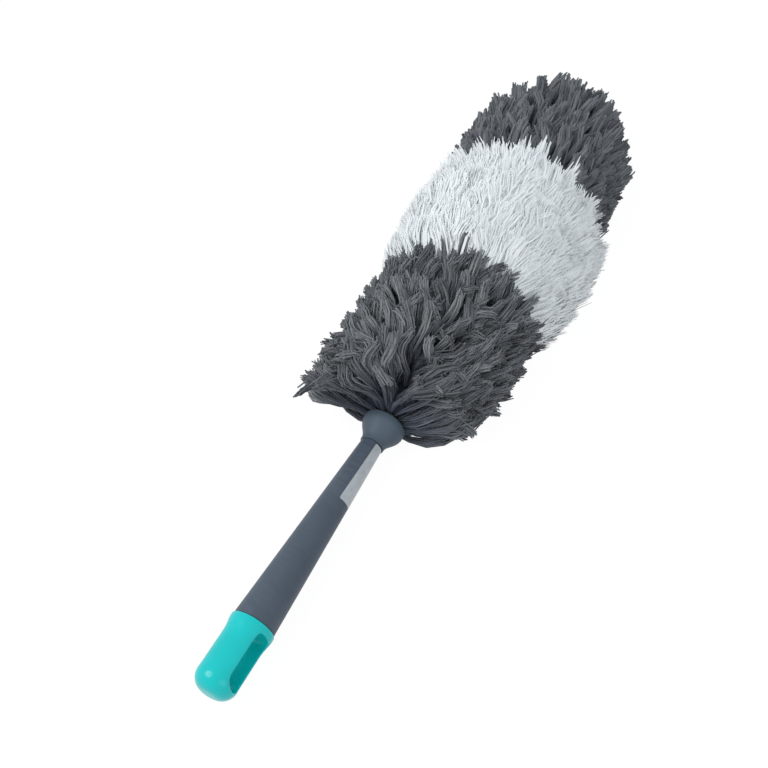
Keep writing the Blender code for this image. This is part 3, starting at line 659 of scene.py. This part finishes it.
def tip_outline(side):
    """Places of roots along the sleeve, and the places and radii at which full-length strands end.

    side is 1 where the tufts splay at the collar, and 0 on the other side.
    """
    edge = 0.0006
    grey = LOWER_GREY_LENGTH
    middle = grey + 0.4 * WHITE_LENGTH
    rows = [
        (0.0, mix(0.044, -SPLAY_BACK, side), mix(0.072, LOWER_SPLAY_RADIUS, side)),
        (0.2 * grey, mix(0.064, 0.036, side), mix(0.077, LOWER_SPLAY_RADIUS, side)),
        (0.5 * grey, 0.5 * grey + 0.8 * SWEEP, LOWER_GREY_RADIUS),
        (grey - edge, grey + 0.9 * SWEEP, LOWER_GREY_RADIUS),
        (grey + edge, grey + SWEEP, 0.93 * WHITE_RADIUS),
        (middle, middle + SWEEP, WHITE_RADIUS),
        (full_x - edge, full_x + WHITE_FRONT_SWEEP, 0.98 * WHITE_RADIUS),
        (full_x + edge, full_x + SWEEP, UPPER_GREY_RADIUS),
    ]
    dome_x = full_x + DOME_ROOT + DOME_START + SWEEP
    for step in range(DOME_STEPS + 1):
        turn = math.radians(DOME_TURN * step / DOME_STEPS)
        root = full_x + mix(DOME_ROOT, UPPER_GREY_LENGTH, step / DOME_STEPS)
        rows.append((root, dome_x + DOME_LENGTH * math.sin(turn), UPPER_GREY_RADIUS * math.cos(turn)))
    return list(zip(*rows))


def strand_tips(roots, angles):
    """End places and radii of strands with these roots and angles in degrees from +Y over +Z."""
    side = ((1 + np.cos(np.radians(angles - SPLAY_ANGLE))) / 2) ** 2
    plain = tip_outline(0.0)
    splayed = tip_outline(1.0)
    ends = mix(np.interp(roots, plain[0], plain[1]), np.interp(roots, plain[0], splayed[1]), side)
    radii = mix(np.interp(roots, plain[0], plain[2]), np.interp(roots, plain[0], splayed[2]), side)
    held_back = SIDE_SWEEP_LOSS * abs(np.cos(np.radians(angles))) ** 1.5
    return ends - held_back * radii / WHITE_RADIUS, radii


# %% How the head leans and lies
def top_lean(x, radius):
    """How far the fluffy top of the head leans to the +Y side. The sleeve itself stays straight."""
    along = np.clip((x - sleeve_x - full_x) / TOP_LEAN_LENGTH, 0, 1)
    outward = np.clip((radius - SLEEVE_RADIUS) / (UPPER_GREY_RADIUS - SLEEVE_RADIUS), 0, 1)
    return TOP_LEAN * along * outward


def settled(x, radius, angle):
    """Points at angles from level, where the surface below presses the low strands aside."""
    mirrored = np.cos(np.radians(angle)) < 0
    lean = np.degrees(np.arcsin(np.clip(np.sin(np.radians(angle)), -1, 1)))
    room = abs(floor_z) + FLAT_DEPTH
    low = np.degrees(np.arcsin(room / np.maximum(radius, room)))
    squeezed = mix(-low, SETTLE_ABOVE, (lean + 90.0) / (SETTLE_ABOVE + 90.0))
    lean = np.where((radius > room) & (lean < SETTLE_ABOVE), squeezed, lean)
    turn = np.radians(np.where(mirrored, 180.0 - lean, lean))
    return np.stack([x, radius * np.cos(turn) + top_lean(x, radius), radius * np.sin(turn)], axis=-1)

# %% [markdown]
# ### From tufts to strands
#
# A tuft is a bundle of strands with one root, and on the real head it hangs together as one wavy
# lock. First every tuft gets a path for its middle, with its own length, lean, drift and slow waves,
# which makes the head lumpy with dark gaps. Then its strands fan out from that path like the hairs
# of a round brush, draw together again towards the tip, and end at lengths of their own. Some stray
# from their lock, most of them at the collar. At a band's front end the lengths differ more, so that
# the white runs out into single strands over the grey, and the lower grey ends in lobes.


# %% What a band is
class Band:
    """What one coloured band of the head is made of. Lengths are in metres."""

    rise = 1.4
    lean = 1.4
    uneven = 0.06
    drift = 7.0
    fan = 0.0042
    depth = 0.7
    shortest = 0.84
    curl = 0.0009
    sway = 0.0065
    swirl = 1.2
    width = 0.0018
    thickness = 0.0011
    facing = 3.0
    twist = 2.0
    strays = 0.02
    gather = 0.30
    end_width = 0.80
    ragged = 0.0
    lobes = 0.0
    roundness = 1.0
    softness = 0.4
    silky = False

    def __init__(self, **own):
        vars(self).update(own)


# %% Roots and ends of tufts
RING_JITTER = (0.15, 0.85)
COLUMN_JITTER = 0.3
TOP_CROWDING = 0.35
TUFT_REACH = (0.78, 1.03)
END_SHIFT = 0.006
END_SHIFT_LIMITS = (-0.012, 0.007)
RIM_LENGTH = 0.025
LOBE_COUNT = 11


def at_rim(band, root):
    """0 over most of a band, rising to 1 at its front end, where its tips lie over the next band."""
    return np.clip((root - band.start - band.length) / RIM_LENGTH + 1, 0, 1)


def tuft_roots(band, dice):
    """Places of a band's tufts along the sleeve, and their angles in degrees, closer at the top."""
    ring, column = np.meshgrid(np.arange(band.rings), np.arange(band.columns), indexing="ij")
    ring, column = ring.ravel(), column.ravel()
    tufts = ring.size
    root = band.start + band.length * (ring + dice.uniform(*RING_JITTER, tufts)) / band.rings
    jitter = dice.uniform(-COLUMN_JITTER, COLUMN_JITTER, tufts)
    place = (column + 0.5 * (ring % 2) + jitter) / band.columns
    from_top = math.tau * (place % 1.0) - math.pi
    return root, 90 + np.degrees(from_top - TOP_CROWDING * np.sin(from_top))


def tuft_ends(band, root, angle, dice):
    """Places and radii at which the tufts end, each with its own length."""
    end_x, end_r = strand_tips(root, angle)
    uneven = band.uneven * (1 + band.ragged * at_rim(band, root))
    reach = np.clip(dice.normal(1 - band.uneven, uneven, root.size), *TUFT_REACH)
    lobe = band.lobes * at_rim(band, root) * np.sin(np.radians(LOBE_COUNT * angle))
    shift = np.clip(dice.normal(0.0, END_SHIFT, root.size), *END_SHIFT_LIMITS)
    end_x = root + (end_x - root) * reach + lobe + shift
    return end_x, SLEEVE_RADIUS + (end_r - SLEEVE_RADIUS) * reach


# %% Paths of tufts
PATH_STATIONS = 16
ROOT_SINK = 0.0006
COLLAR_CURL = 0.7
COLLAR_CURL_LENGTH = 0.030


def tuft_paths(band, dice):
    """Middle paths of a band's tufts, as an array (tuft, station, xyz), and their roots."""
    root, angle = tuft_roots(band, dice)
    end_x, end_r = tuft_ends(band, root, angle, dice)
    tufts = root.size
    fall = np.clip(1 - root / PARTING_LENGTH, 0, 1) ** 0.7
    aside = angle - PARTING
    droop = np.sign(aside) * fall * PARTING_FALL * np.clip(1.15 - abs(aside) / 110.0, 0, 1)
    drift = dice.normal(0.0, band.drift, tufts) + droop
    t = np.linspace(0, 1, PATH_STATIONS)[None, :]
    x = root[:, None] + (end_x - root)[:, None] * t ** band.lean
    r = SLEEVE_RADIUS - ROOT_SINK + (end_r - SLEEVE_RADIUS)[:, None] * (1 - (1 - t) ** band.rise)
    a = angle[:, None] + drift[:, None] * t ** 1.4
    phase = dice.uniform(0, 1, (3, tufts, 1))
    turns = dice.uniform(0.6, 1.4, (3, tufts, 1))
    sway = band.sway * (1 + COLLAR_CURL * np.exp(-root / COLLAR_CURL_LENGTH))[:, None]
    wave = sway * t * np.sin(math.tau * (phase + turns * t))
    a = a + np.degrees(wave[1] / np.maximum(r, 0.02))
    return settled(sleeve_x + x + wave[0], r - 0.5 * abs(wave[2]), a), root


# %% Helpers that follow a path
def even_stations(count):
    """Places along a strand from 0 to 1, a little closer towards the tip."""
    return np.linspace(0, 1, count) ** 0.8


def side_directions(path):
    """Two directions across each path at each station: round the duster, and outwards."""
    tangent = np.gradient(path, axis=1)
    tangent /= np.linalg.norm(tangent, axis=2, keepdims=True)
    round_axis = np.stack([np.zeros_like(path[..., 0]), -path[..., 2], path[..., 1]], axis=-1)
    aside = round_axis - tangent * (round_axis * tangent).sum(axis=2, keepdims=True)
    aside /= np.maximum(np.linalg.norm(aside, axis=2, keepdims=True), 1e-9)
    return aside, np.cross(aside, tangent)


def along_path(values, share):
    """Values of each tuft's path, read for its strands at shares of the path's length."""
    place = np.clip(share * (PATH_STATIONS - 1), 0, PATH_STATIONS - 1.001)
    low = place.astype(int)
    part = (place - low)[:, :, None]
    row = np.arange(len(values))[:, None]
    return values[row, low] * (1 - part) + values[row, low + 1] * part


# %% Paths of strands
STRAY_FAN = 2.2
COLLAR_STRAYS = 4.0
RIM_THINNING = 0.24


def strand_paths(band, dice):
    """Paths of all strands of a band (strand, station, xyz), the middle path by each, and tones."""
    middle, root = tuft_paths(band, dice)
    aside, outward = side_directions(middle)
    tufts = len(middle)
    count = tufts * band.strands
    rim = np.sqrt(dice.uniform(0, 1, count))
    thinned = band.ragged * RIM_THINNING * at_rim(band, root)
    shortest = np.repeat(band.shortest - thinned, band.strands)
    length = 1 - (1 - shortest) * (0.6 * rim ** 2 + 0.4 * dice.uniform(0, 1, count))
    share = length[:, None] * even_stations(band.stations)[None, :]

    def for_strands(values):
        return along_path(np.repeat(values, band.strands, axis=0), share)

    near_collar = np.repeat(np.exp(-root / COLLAR_CURL_LENGTH), band.strands)
    stray = dice.uniform(0, 1, count) < band.strays * (1 + COLLAR_STRAYS * near_collar)
    fan = band.fan * rim * np.where(stray, STRAY_FAN, 1.0)
    swirl = np.repeat(dice.normal(0.0, band.swirl, tufts), band.strands)
    turn = dice.uniform(0, math.tau, count)[:, None] + swirl[:, None] * share
    phase = dice.uniform(0, 1, (2, count, 1))
    turns = dice.uniform(0.5, 1.5, (2, count, 1))
    size = band.curl * dice.uniform(0.4, 1.6, (count, 1))
    curl = size * share * np.sin(math.tau * (phase + turns * share))
    gathered = 1 - band.gather * np.clip(2.5 * share - 1.5, 0, 1)
    spread = np.minimum(1.0, 1.5 * share) ** 0.8 * gathered
    offset_aside = fan[:, None] * np.cos(turn) * spread + curl[0]
    offset_outward = fan[:, None] * np.sin(turn) * spread * band.depth + curl[1]
    core = for_strands(middle)
    path = core + for_strands(aside) * offset_aside[:, :, None]
    path += for_strands(outward) * offset_outward[:, :, None]
    path[:, :, 2] = np.maximum(path[:, :, 2], floor_z + band.thickness / 2)
    tuft_tone = np.repeat(dice.uniform(0, 1, tufts), band.strands)
    return path, core, 0.55 * tuft_tone + 0.45 * dice.uniform(0, 1, count)

# %% [markdown]
# ### From paths to meshes
#
# Each strand gets a flat three-sided section at every station, and twists a little on its way. Grey
# strands are thick, face all ways and end bluntly. White ones are thin ribbons that mostly face
# outwards, so that they melt into one silky surface. Shading follows normals that are set here: a
# grey strand takes part of its normal from its whole lock, which then shades as one round body. A
# white ribbon takes it from the whole band, and its underside faces the tip. Strands that are pressed
# on the table face down. Two attributes go with the mesh: the strand's tone, and how far along the
# strand a point lies. The materials read them.


# %% Sections and faces of strands
def strand_corners(path, along, band, dice):
    """The three corners of each section, on strands that taper and twist a little."""
    count = len(path)
    aside, outward = side_directions(path)
    first_turn = dice.normal(0.0, band.facing, count)[:, None]
    turn = first_turn + dice.normal(0.0, band.twist, count)[:, None] * along[None, :]
    size = dice.uniform(0.75, 1.25, count)[:, None]
    taper = np.interp(along, [0.0, 0.25, 0.9, 1.0], [0.55, 0.9, 1.0, band.end_width])[None, :] * size
    corners = []
    for wide, thick in [(0.0, -0.67 * band.thickness), (0.5 * band.width, 0.33 * band.thickness),
                        (-0.5 * band.width, 0.33 * band.thickness)]:
        along_aside = (wide * np.cos(turn) - thick * np.sin(turn)) * taper
        along_outward = (wide * np.sin(turn) + thick * np.cos(turn)) * taper
        corners.append(path + aside * along_aside[:, :, None] + outward * along_outward[:, :, None])
    return corners


def strand_faces(index):
    """Point numbers of all side faces, four for each, and of all end faces, three for each."""
    low, high = index[:, :-1], index[:, 1:]
    sides = np.stack([low, high, np.roll(high, -1, axis=2), np.roll(low, -1, axis=2)], axis=-1)
    ends = np.concatenate([index[:, 0], index[:, -1, ::-1]])
    return sides.reshape(-1), ends.reshape(-1)


# %% Shading of strands
PRESSED_DEPTH = 0.008


def unit(vectors):
    """The same directions, one long."""
    return vectors / np.maximum(np.linalg.norm(vectors, axis=-1, keepdims=True), 1e-9)


def corner_normals(path, core, corners, band):
    """A shading direction for each point, between the strand's own and its lock's or band's."""
    tuft = unit(unit(path * [0.0, 1.0, 1.0]) + band.roundness * (path - core) / band.fan)
    pressed = np.clip(1 - (path[..., 2:] - floor_z) / PRESSED_DEPTH, 0, 1)
    tuft = unit(mix(tuft, np.array([0.0, 0.0, -1.0]), pressed))
    normals = [unit(mix(unit(corner - path), tuft, band.softness)) for corner in corners]
    return np.stack(normals, axis=2).reshape(-1, 3)


def store(mesh, name, values):
    """Keep a number with each point of the mesh, for a material to read."""
    flat = np.ascontiguousarray(values, np.float32).ravel()
    mesh.attributes.new(name, "FLOAT", "POINT").data.foreach_set("value", flat)


# %% Meshes of strands
def strand_mesh(name, path, core, tone, band, dice):
    """Build a tapering band along each path, with tone and along as attributes."""
    count, stations = path.shape[:2]
    along = even_stations(stations)
    corners = strand_corners(path, along, band, dice)
    points = np.stack(corners, axis=2)
    points[..., 2] = np.maximum(points[..., 2], floor_z)
    index = np.arange(count * stations * 3).reshape(count, stations, 3)
    sides, ends = strand_faces(index)
    faces = np.concatenate([sides, ends])
    starts = np.concatenate([np.arange(0, sides.size, 4), sides.size + np.arange(0, ends.size, 3)])
    mesh = bpy.data.meshes.new(name)
    mesh.vertices.add(points.size // 3)
    mesh.vertices.foreach_set("co", points.ravel())
    mesh.loops.add(faces.size)
    mesh.loops.foreach_set("vertex_index", faces)
    mesh.polygons.add(len(starts))
    mesh.polygons.foreach_set("loop_start", starts)
    mesh.update(calc_edges=True)
    mesh.shade_smooth()
    normals = corner_normals(path, core, corners, band)[faces]
    if band.silky:
        underside = np.zeros((count, stations - 1, 3, 4), bool)
        underside[:, :, (0, 2)] = True
        normals[:sides.size][underside.ravel()] = (1.0, 0.0, 0.0)
    mesh.normals_split_custom_set(normals)
    store(mesh, "tone", np.broadcast_to(tone[:, None, None], index.shape))
    store(mesh, "along", np.broadcast_to(along[None, :, None], index.shape))
    return add_object(name, mesh)

# %% [markdown]
# ### Microfibre
#
# A strand's colour is darkened towards its root with painted shade, where other strands keep the light
# out, and every strand has its own tone. Both come from the attributes that were stored with the mesh,
# so the pattern follows the strands. At its very tip a strand is a little darker again. A fine noise
# stands for the pile of the yarn, and a little sheen for its fuzz. The grey at the tip of the head is
# the same yarn as the lower grey, made darker with painted shade. An image of fur would be quicker, but
# it would look painted on from any side but one.


# %% Helpers for the fibre material
FULL_WHITE = (1.0, 1.0, 1.0, 1.0)
PILE_SIZE = 0.0009
PILE_SHARE = 0.5
STRAND_SHARE = 0.6


def maths(tree, operation, *values):
    """What a Math node makes of numbers or other nodes' outputs."""
    node = tree.nodes.new("ShaderNodeMath")
    node.operation = operation
    for socket, value in zip(node.inputs, values):
        plug(socket, value)
    return node.outputs[0]


def read_attribute(tree, name):
    """A number that was stored with the mesh."""
    node = add_node(tree, "Attribute")
    node.attribute_name = name
    return node.outputs["Fac"]


# %% Fibre materials
def fibre(name, root, dark, light, pile_depth):
    """Microfibre yarn: painted shade towards the root, its own tone for each strand, and a fine pile.
    """
    material, tree, shader = new_material(name)
    pile = grain(tree, PILE_SIZE)
    strand = maths(tree, "MULTIPLY", read_attribute(tree, "tone"), STRAND_SHARE)
    blend = maths(tree, "MULTIPLY_ADD", pile, PILE_SHARE, strand)
    # The along ramp is painted shade: the root colour at the root, halfway to full colour at 0.5, full
    # colour from 0.86, and a little darker at the very tip.
    half_lit = tuple((value + 1.0) / 2 for value in root)
    dimmer_tip = tuple(0.85 + 0.15 * value for value in root)
    depth = vary_colour(tree, read_attribute(tree, "along"),
                        (0.0, root), (0.5, half_lit), (0.86, FULL_WHITE), (1.0, dimmer_tip))
    multiply = tree.nodes.new("ShaderNodeMix")
    multiply.data_type = "RGBA"
    multiply.blend_type = "MULTIPLY"
    feed(multiply, Factor=1.0, A=vary_colour(tree, blend, (0.15, dark), (0.85, light)), B=depth)
    feed(shader, Base_Color=multiply.outputs["Result"], Normal=bump(tree, pile, pile_depth),
         Roughness=0.85, Specular_IOR_Level=0.2, Sheen_Weight=0.15, Sheen_Roughness=0.5)
    return material


# Painted shade at the roots of the strands, bluish in the grey yarn.
GREY_ROOT_SHADE = (0.20, 0.25, 0.36, 1.0)
WHITE_ROOT_SHADE = (0.88, 0.90, 0.92, 1.0)

grey_fibre = fibre("grey_fibre", GREY_ROOT_SHADE, linear(45, 50, 57), linear(142, 146, 149), 0.00025)
# The same grey yarn made darker: painted shade on the upper band.
shaded_tip_grey_fibre = fibre("shaded_tip_grey_fibre", GREY_ROOT_SHADE, linear(41, 46, 53), linear(129, 133, 137), 0.00025)
white_fibre = fibre("white_fibre", WHITE_ROOT_SHADE, linear(233, 239, 241), linear(246, 249, 249), 0.00005)
sleeve_cloth = fibre("sleeve_cloth", FULL_WHITE, linear(70, 74, 80), linear(92, 97, 103), 0.0003)
print("fibres", grey_fibre.name, shaded_tip_grey_fibre.name, white_fibre.name, sleeve_cloth.name)

# %% [markdown]
# ### The three bands
#
# The bands share all rules and differ in a few numbers. Lower grey has fine, matted, unruly locks.
# White is silky, with many thin strands in broad tufts. Upper grey has thicker and tidier locks. Each
# band is several pieces, so that no mesh gets too heavy, and brings its slice of the fabric sleeve,
# which is a sheet stretched round the foam. Objects with a hair system each would be easier to comb,
# but every random draw here comes from a seeded generator, so the head is the same each time.

# %% Sizes and habits of the three bands
lower_grey = Band(
    node="lower_grey_strands", material=grey_fibre, slot="grey_microfibre", seed=11, pieces=3,
    start=0.0, length=LOWER_GREY_LENGTH, rings=20, columns=31, strands=22, stations=7,
    drift=8.0, uneven=0.07, fan=0.0040, curl=0.0013, gather=0.20, width=0.0013, lobes=0.007,
    softness=0.25)
white_band = Band(
    node="white_strands", material=white_fibre, slot="white_microfibre", seed=12, pieces=5,
    start=LOWER_GREY_LENGTH, length=WHITE_LENGTH, rings=20, columns=34, strands=34, stations=6,
    rise=1.5, lean=1.45, drift=4.0, uneven=0.035, fan=0.0095, depth=0.3, shortest=0.82,
    curl=0.0008, sway=0.0050, swirl=0.3, gather=0.0, strays=0.08, ragged=1.9,
    thickness=0.0003, facing=0.15, twist=0.25, end_width=0.30,
    roundness=0.0, softness=1.0, silky=True)
upper_grey = Band(
    node="upper_grey_strands", material=shaded_tip_grey_fibre, slot="grey_microfibre", seed=13, pieces=3,
    start=full_x, length=UPPER_GREY_LENGTH, rings=20, columns=32, strands=20, stations=7,
    drift=5.5, uneven=0.04, fan=0.0044, shortest=0.86, gather=0.35, width=0.0021, thickness=0.0013,
    softness=0.5)
tufts = sum(band.rings * band.columns for band in (lower_grey, white_band, upper_grey))
print("tufts in all", tufts)

# %% Make the three bands
SLICE_GAP = 0.0003


def sleeve_slice(name, band):
    """The slice of fabric sleeve that a band's strands are sewn on, as a stretched sheet."""
    rear = sleeve_x + band.start
    front = rear + band.length - SLICE_GAP
    wall = [(rear, SLEEVE_BORE), (rear, SLEEVE_RADIUS), (front, SLEEVE_RADIUS), (front, SLEEVE_BORE)]
    sleeve = turned_piece(name, wall, sides=48)
    smooth(sleeve)
    sleeve.data.materials.append(sleeve_cloth)
    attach(sleeve, "head")


def make_band(name, band):
    """Strands of one band in as many pieces as keep each light, and the sleeve under them."""
    dice = np.random.default_rng(band.seed)
    path, core, tone = strand_paths(band, dice)
    for number in range(band.pieces):
        first, last = (part * len(path) // band.pieces for part in (number, number + 1))
        chosen = slice(first, last)
        title = f"{name}_{number + 1}"
        piece = strand_mesh(title, path[chosen], core[chosen], tone[chosen], band, dice)
        hand_over(piece, band.material, band.node, "head")
    sleeve_slice(name + "_sleeve", band)


make_band("lower_grey_fibres", lower_grey)
make_band("white_fibres", white_band)
make_band("upper_grey_fibres", upper_grey)

# %% [markdown]
# ### The soft inside of the bands
#
# White yarn is so fine and so bright that the eye sees one glowing mass, out of which only the ends
# of strands stand. Drawing every fibre of that mass would take millions of faces. A closed skin
# stands for it instead. Its points lie on the middle paths of the tufts, a little before their ends,
# so it rises and falls with the tufts and doesn't come out between them. It starts and ends in the
# wall of the sleeve, and a Subdivision modifier makes it round. In the lower grey band such a skin
# lies deep among the roots: it is the thick felt of roots that hides the sleeve there, and it is
# coloured dark with a dark tone and the full painted root shade.


# %% Soft inside
FLUFF_CLIMB = (0.0, 0.35, 0.70)


def even_out(rows):
    """Move each point towards the mean of its neighbours, along the duster and round it."""
    rows[1:-1] = (rows[:-2] + 2 * rows[1:-1] + rows[2:]) / 4
    return (np.roll(rows, 1, axis=1) + 2 * rows + np.roll(rows, -1, axis=1)) / 4


def make_soft_inside(name, band, share, tone, along):
    """The dense inside of a band, as one closed skin at this share of its tufts' middle paths."""
    middle, root = tuft_paths(band, np.random.default_rng(band.seed))
    shares = share - RIM_THINNING * at_rim(band, root)
    over = even_out(along_path(middle, shares[:, None]).reshape(band.rings, band.columns, 3))
    climb = share * np.repeat([FLUFF_CLIMB], band.columns, axis=0)
    rear = along_path(middle[:band.columns], climb).transpose(1, 0, 2)
    front = along_path(middle[-band.columns:], climb[:, ::-1]).transpose(1, 0, 2)
    rows = np.concatenate([rear, over, front])
    rows[..., 2] = np.maximum(rows[..., 2], floor_z + FLAT_DEPTH)
    here = np.arange(rows.size // 3).reshape(rows.shape[:2])
    ahead = np.roll(here, -1, axis=0)
    faces = np.stack([here, np.roll(here, -1, axis=1), np.roll(ahead, -1, axis=1), ahead], axis=-1)
    mesh = bpy.data.meshes.new(name)
    mesh.from_pydata(rows.reshape(-1, 3).tolist(), [], faces.reshape(-1, 4).tolist())
    skin = add_object(name, mesh)
    use_modifier(skin, "SUBSURF", levels=2)
    make_active(skin)
    bpy.ops.object.shade_smooth()
    store(skin.data, "tone", np.full(len(skin.data.vertices), tone))
    store(skin.data, "along", np.full(len(skin.data.vertices), along))
    hand_over(skin, band.material, band.node, "head")


make_soft_inside("white_underfluff", white_band, share=0.85, tone=0.6, along=0.9)
# along 0 gives this skin the full painted root shade, and tone 0.1 a dark tone.
make_soft_inside("lower_grey_underfluff", lower_grey, share=0.22, tone=0.1, along=0.0)

# %% [markdown]
# ## Tubes and the core
#
# The three steel tubes stay in the grip until the duster is pulled out. The mouths of the two wider
# ones are drawn in, so that the next tube can't slip out. All are turned again here with more sides
# than the solids, because a bright tube shows every facet. Their stations are read from the
# solids, so that the fits between the tubes stay as they were.

# %% Tubes
def tube_stations(node):
    """The wall of a turned tube: its outside from end to end, and back along its bore."""
    places = sorted({round(float(x), 6) for x in node_points(node)[:, 0]})
    outside = [(x, radii_at(node, x)[1]) for x in places]
    bore = [(x, radii_at(node, x)[0]) for x in reversed(places)]
    return outside + bore


def make_tube(name, node, body):
    tube = turned_piece(name, tube_stations(node), sides=64)
    smooth(tube)
    hand_over(tube, steel, node, body)


make_tube("outer_tube_shell", "outer_tube", "handle")
make_tube("middle_tube_shell", "middle_tube", "middle_stage")
make_tube("inner_tube_shell", "inner_tube", "head")

# %% [markdown]
# ### Foam and hem
#
# The foam tube in the head is soft, so it is remade with the slight swell that soft foam has between
# its ends. The sleeve's hem gets the roll of a folded edge. Both are turned, because both are round,
# and a cloth simulation would only give back the shape that the tight sleeve already forces on them.


# %% Foam tube and hem
FOAM_CELL = 0.0008
FOAM_SINK = 0.0004
DARK_FOAM = linear(112, 115, 119)
LIGHT_FOAM = linear(134, 137, 141)
SWELL_STEPS = 12

foam_low, foam_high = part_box("core_foam")
hem_low, hem_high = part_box("sleeve_hem")


def foam():
    """Open soft foam: pale grey, matt, with small cells."""
    material, tree, shader = new_material("foam_cells")
    cells = grain(tree, FOAM_CELL)
    feed(shader, Roughness=0.95, Specular_IOR_Level=0.15,
         Base_Color=vary_colour(tree, cells, (0.35, DARK_FOAM), (0.65, LIGHT_FOAM)),
         Normal=bump(tree, cells, FOAM_CELL / 2))
    return material


def swelling(low, high, radius, rise):
    """Stations along a soft tube that swells a little between its ends."""
    shares = [step / SWELL_STEPS for step in range(SWELL_STEPS + 1)]
    return [(low + (high - low) * s, radius + rise * math.sin(math.pi * s) ** 0.5) for s in shares]


def make_core():
    bore, _ = radii_at("core_foam", foam_low.x)
    outside = swelling(foam_low.x, foam_high.x, foam_high.z - FOAM_SINK, FOAM_SINK)
    tube = turned_piece("foam_tube", outside + [(foam_high.x, bore), (foam_low.x, bore)], sides=48)
    smooth(tube)
    hand_over(tube, foam(), "core_foam", "head")
    bore, outer = radii_at("sleeve_hem", hem_low.x)
    middle = (bore + outer) / 2
    roll = (outer - bore) / 2
    outside = round_outline(hem_low.x + roll, middle, roll, 270, 90, 8)
    outside += round_outline(hem_high.x - roll, middle, roll, 90, -90, 8)
    hem = turned_piece("rolled_hem", outside, sides=48)
    smooth(hem)
    hand_over(hem, sleeve_cloth, "sleeve_hem", "head")


make_core()

# %% [markdown]
# ### Small fittings
#
# Plugs, bushes, rings, the rod, the washer, the tip's cap and the nut are rigid, and their solids have
# the right shape already. They stay as they are, and each only gets its material in its own slots.


# %% Materials of the fittings that keep their solids
def finish_nodes(material, *nodes):
    for node in nodes:
        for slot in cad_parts[node].material_slots:
            slot.material = material
    print(material.name, "on", len(nodes), "nodes")


finish_nodes(black_plastic, "outer_tube_plug", "tube_centring_ring", "middle_plug", "inner_plug",
             "neck_plug", "sleeve_clamp_ring", "tip_cap")
finish_nodes(steel, "middle_friction_ring", "inner_friction_ring", "core_washer", "core_rod", "tip_nut")

# %% [markdown]
# ## Stage: camera, floor, world and lamps
#
# The camera stands where the photographer stood, found by matching the ends of the grip and the head
# in the picture. It is built from its place and two directions, which is more exact than angles.

# %% Camera
CAMERA_PLACE = (-0.158, -0.2153, 0.6244)
CAMERA_LOOK = (0.5502, 0.2953, -0.7811)
CAMERA_UP = (0.6903, 0.3654, 0.6244)
CAMERA_LENS = 44.53
SENSOR_WIDTH = 36.0


def make_camera():
    back = -Vector(CAMERA_LOOK).normalized()
    right = Vector(CAMERA_UP).cross(back).normalized()
    up = back.cross(right)
    data = bpy.data.cameras.new("camera")
    data.lens = CAMERA_LENS
    data.sensor_width = SENSOR_WIDTH
    camera = add_object("camera", data)
    turn = Matrix((right, up, back)).transposed().to_4x4()
    camera.matrix_world = Matrix.Translation(CAMERA_PLACE) @ turn
    bpy.context.scene.camera = camera


make_camera()

# %% [markdown]
# ### Light
#
# The floor and the world are plain and pale. A large soft lamp on the left gives the gentle shading
# of a studio, and a weak one on the right opens the shadows. The white background is not made with
# more light, which would bleach the object: rays that come straight from the camera, or by way of
# gloss or glass, see the floor and the world as white, and the object is lit by the plain ones.


# %% Helpers for a white background
def see_as_white(tree):
    """1 for rays from the camera, from gloss and through glass, which then see plain white."""
    path = add_node(tree, "LightPath")
    direct = maths(tree, "MAXIMUM", path.outputs["Is Camera Ray"], path.outputs["Is Glossy Ray"])
    return maths(tree, "MAXIMUM", direct, path.outputs["Is Transmission Ray"])


def show_white(tree, share, plain, white, output):
    """Send the plain shader to the output, and the white one where the share says so."""
    blend = add_node(tree, "MixShader")
    for socket, value in zip(blend.inputs, (share, plain.outputs[0], white.outputs[0])):
        plug(socket, value)
    feed(tree.nodes[output], Surface=blend.outputs[0])


# %% Floor and world
STAGE_CENTRE = (0.3, 0.0, 0.0)
FLOOR_SIZE = 8.0
FLOOR_GAP = 0.0002
FLOOR_GREY = 0.64
FLOOR_GLOW = 1.06
FLOOR_LIFT = 0.90
WORLD_TINT = (0.93, 0.96, 1.0, 1.0)
WORLD_STRENGTH = 0.80


def make_floor():
    """A wide pale floor. Rays that only look at it see it lifted almost to white, with its shadows."""
    deselect_all()
    place = (STAGE_CENTRE[0], 0, floor_z - FLOOR_GAP)
    bpy.ops.mesh.primitive_plane_add(size=FLOOR_SIZE, location=place)
    floor = bpy.context.object
    floor.name = "floor"
    settle_transform(floor)
    material, tree, shader = new_material("floor_white")
    grey = (FLOOR_GREY, FLOOR_GREY, FLOOR_GREY, 1.0)
    feed(shader, Base_Color=grey, Roughness=0.9, Specular_IOR_Level=0.1)
    glow = add_node(tree, "Emission", Strength=FLOOR_GLOW)
    lift = maths(tree, "MULTIPLY", see_as_white(tree), FLOOR_LIFT)
    show_white(tree, lift, shader, glow, "Material Output")
    floor.data.materials.append(material)


def make_world():
    world = bpy.data.worlds.new("studio")
    bpy.context.scene.world = world
    world.use_nodes = True
    tree = world.node_tree
    soft = feed(tree.nodes["Background"], Color=WORLD_TINT, Strength=WORLD_STRENGTH)
    white = add_node(tree, "Background", Color=FULL_WHITE)
    show_white(tree, see_as_white(tree), soft, white, "World Output")


make_floor()
make_world()
print("floor at", round(floor_z - FLOOR_GAP, 4), "world at", WORLD_STRENGTH)


# %% Lamps
def make_lamp(name, place, size, power):
    """A round soft lamp that points at the centre of the stage."""
    data = bpy.data.lights.new(name, "AREA")
    data.shape = "DISK"
    data.size = size
    data.energy = power
    lamp = add_object(name, data)
    lamp.location = place
    lamp.rotation_euler = (Vector(STAGE_CENTRE) - Vector(place)).to_track_quat("-Z", "Y").to_euler()


make_lamp("key_lamp", place=(-0.5, 1.0, 1.3), size=1.1, power=15.5)
make_lamp("fill_lamp", place=(-0.5, -1.1, 0.9), size=1.0, power=2.6)
bpy.context.scene.view_settings.view_transform = "Standard"
print("stage ready")
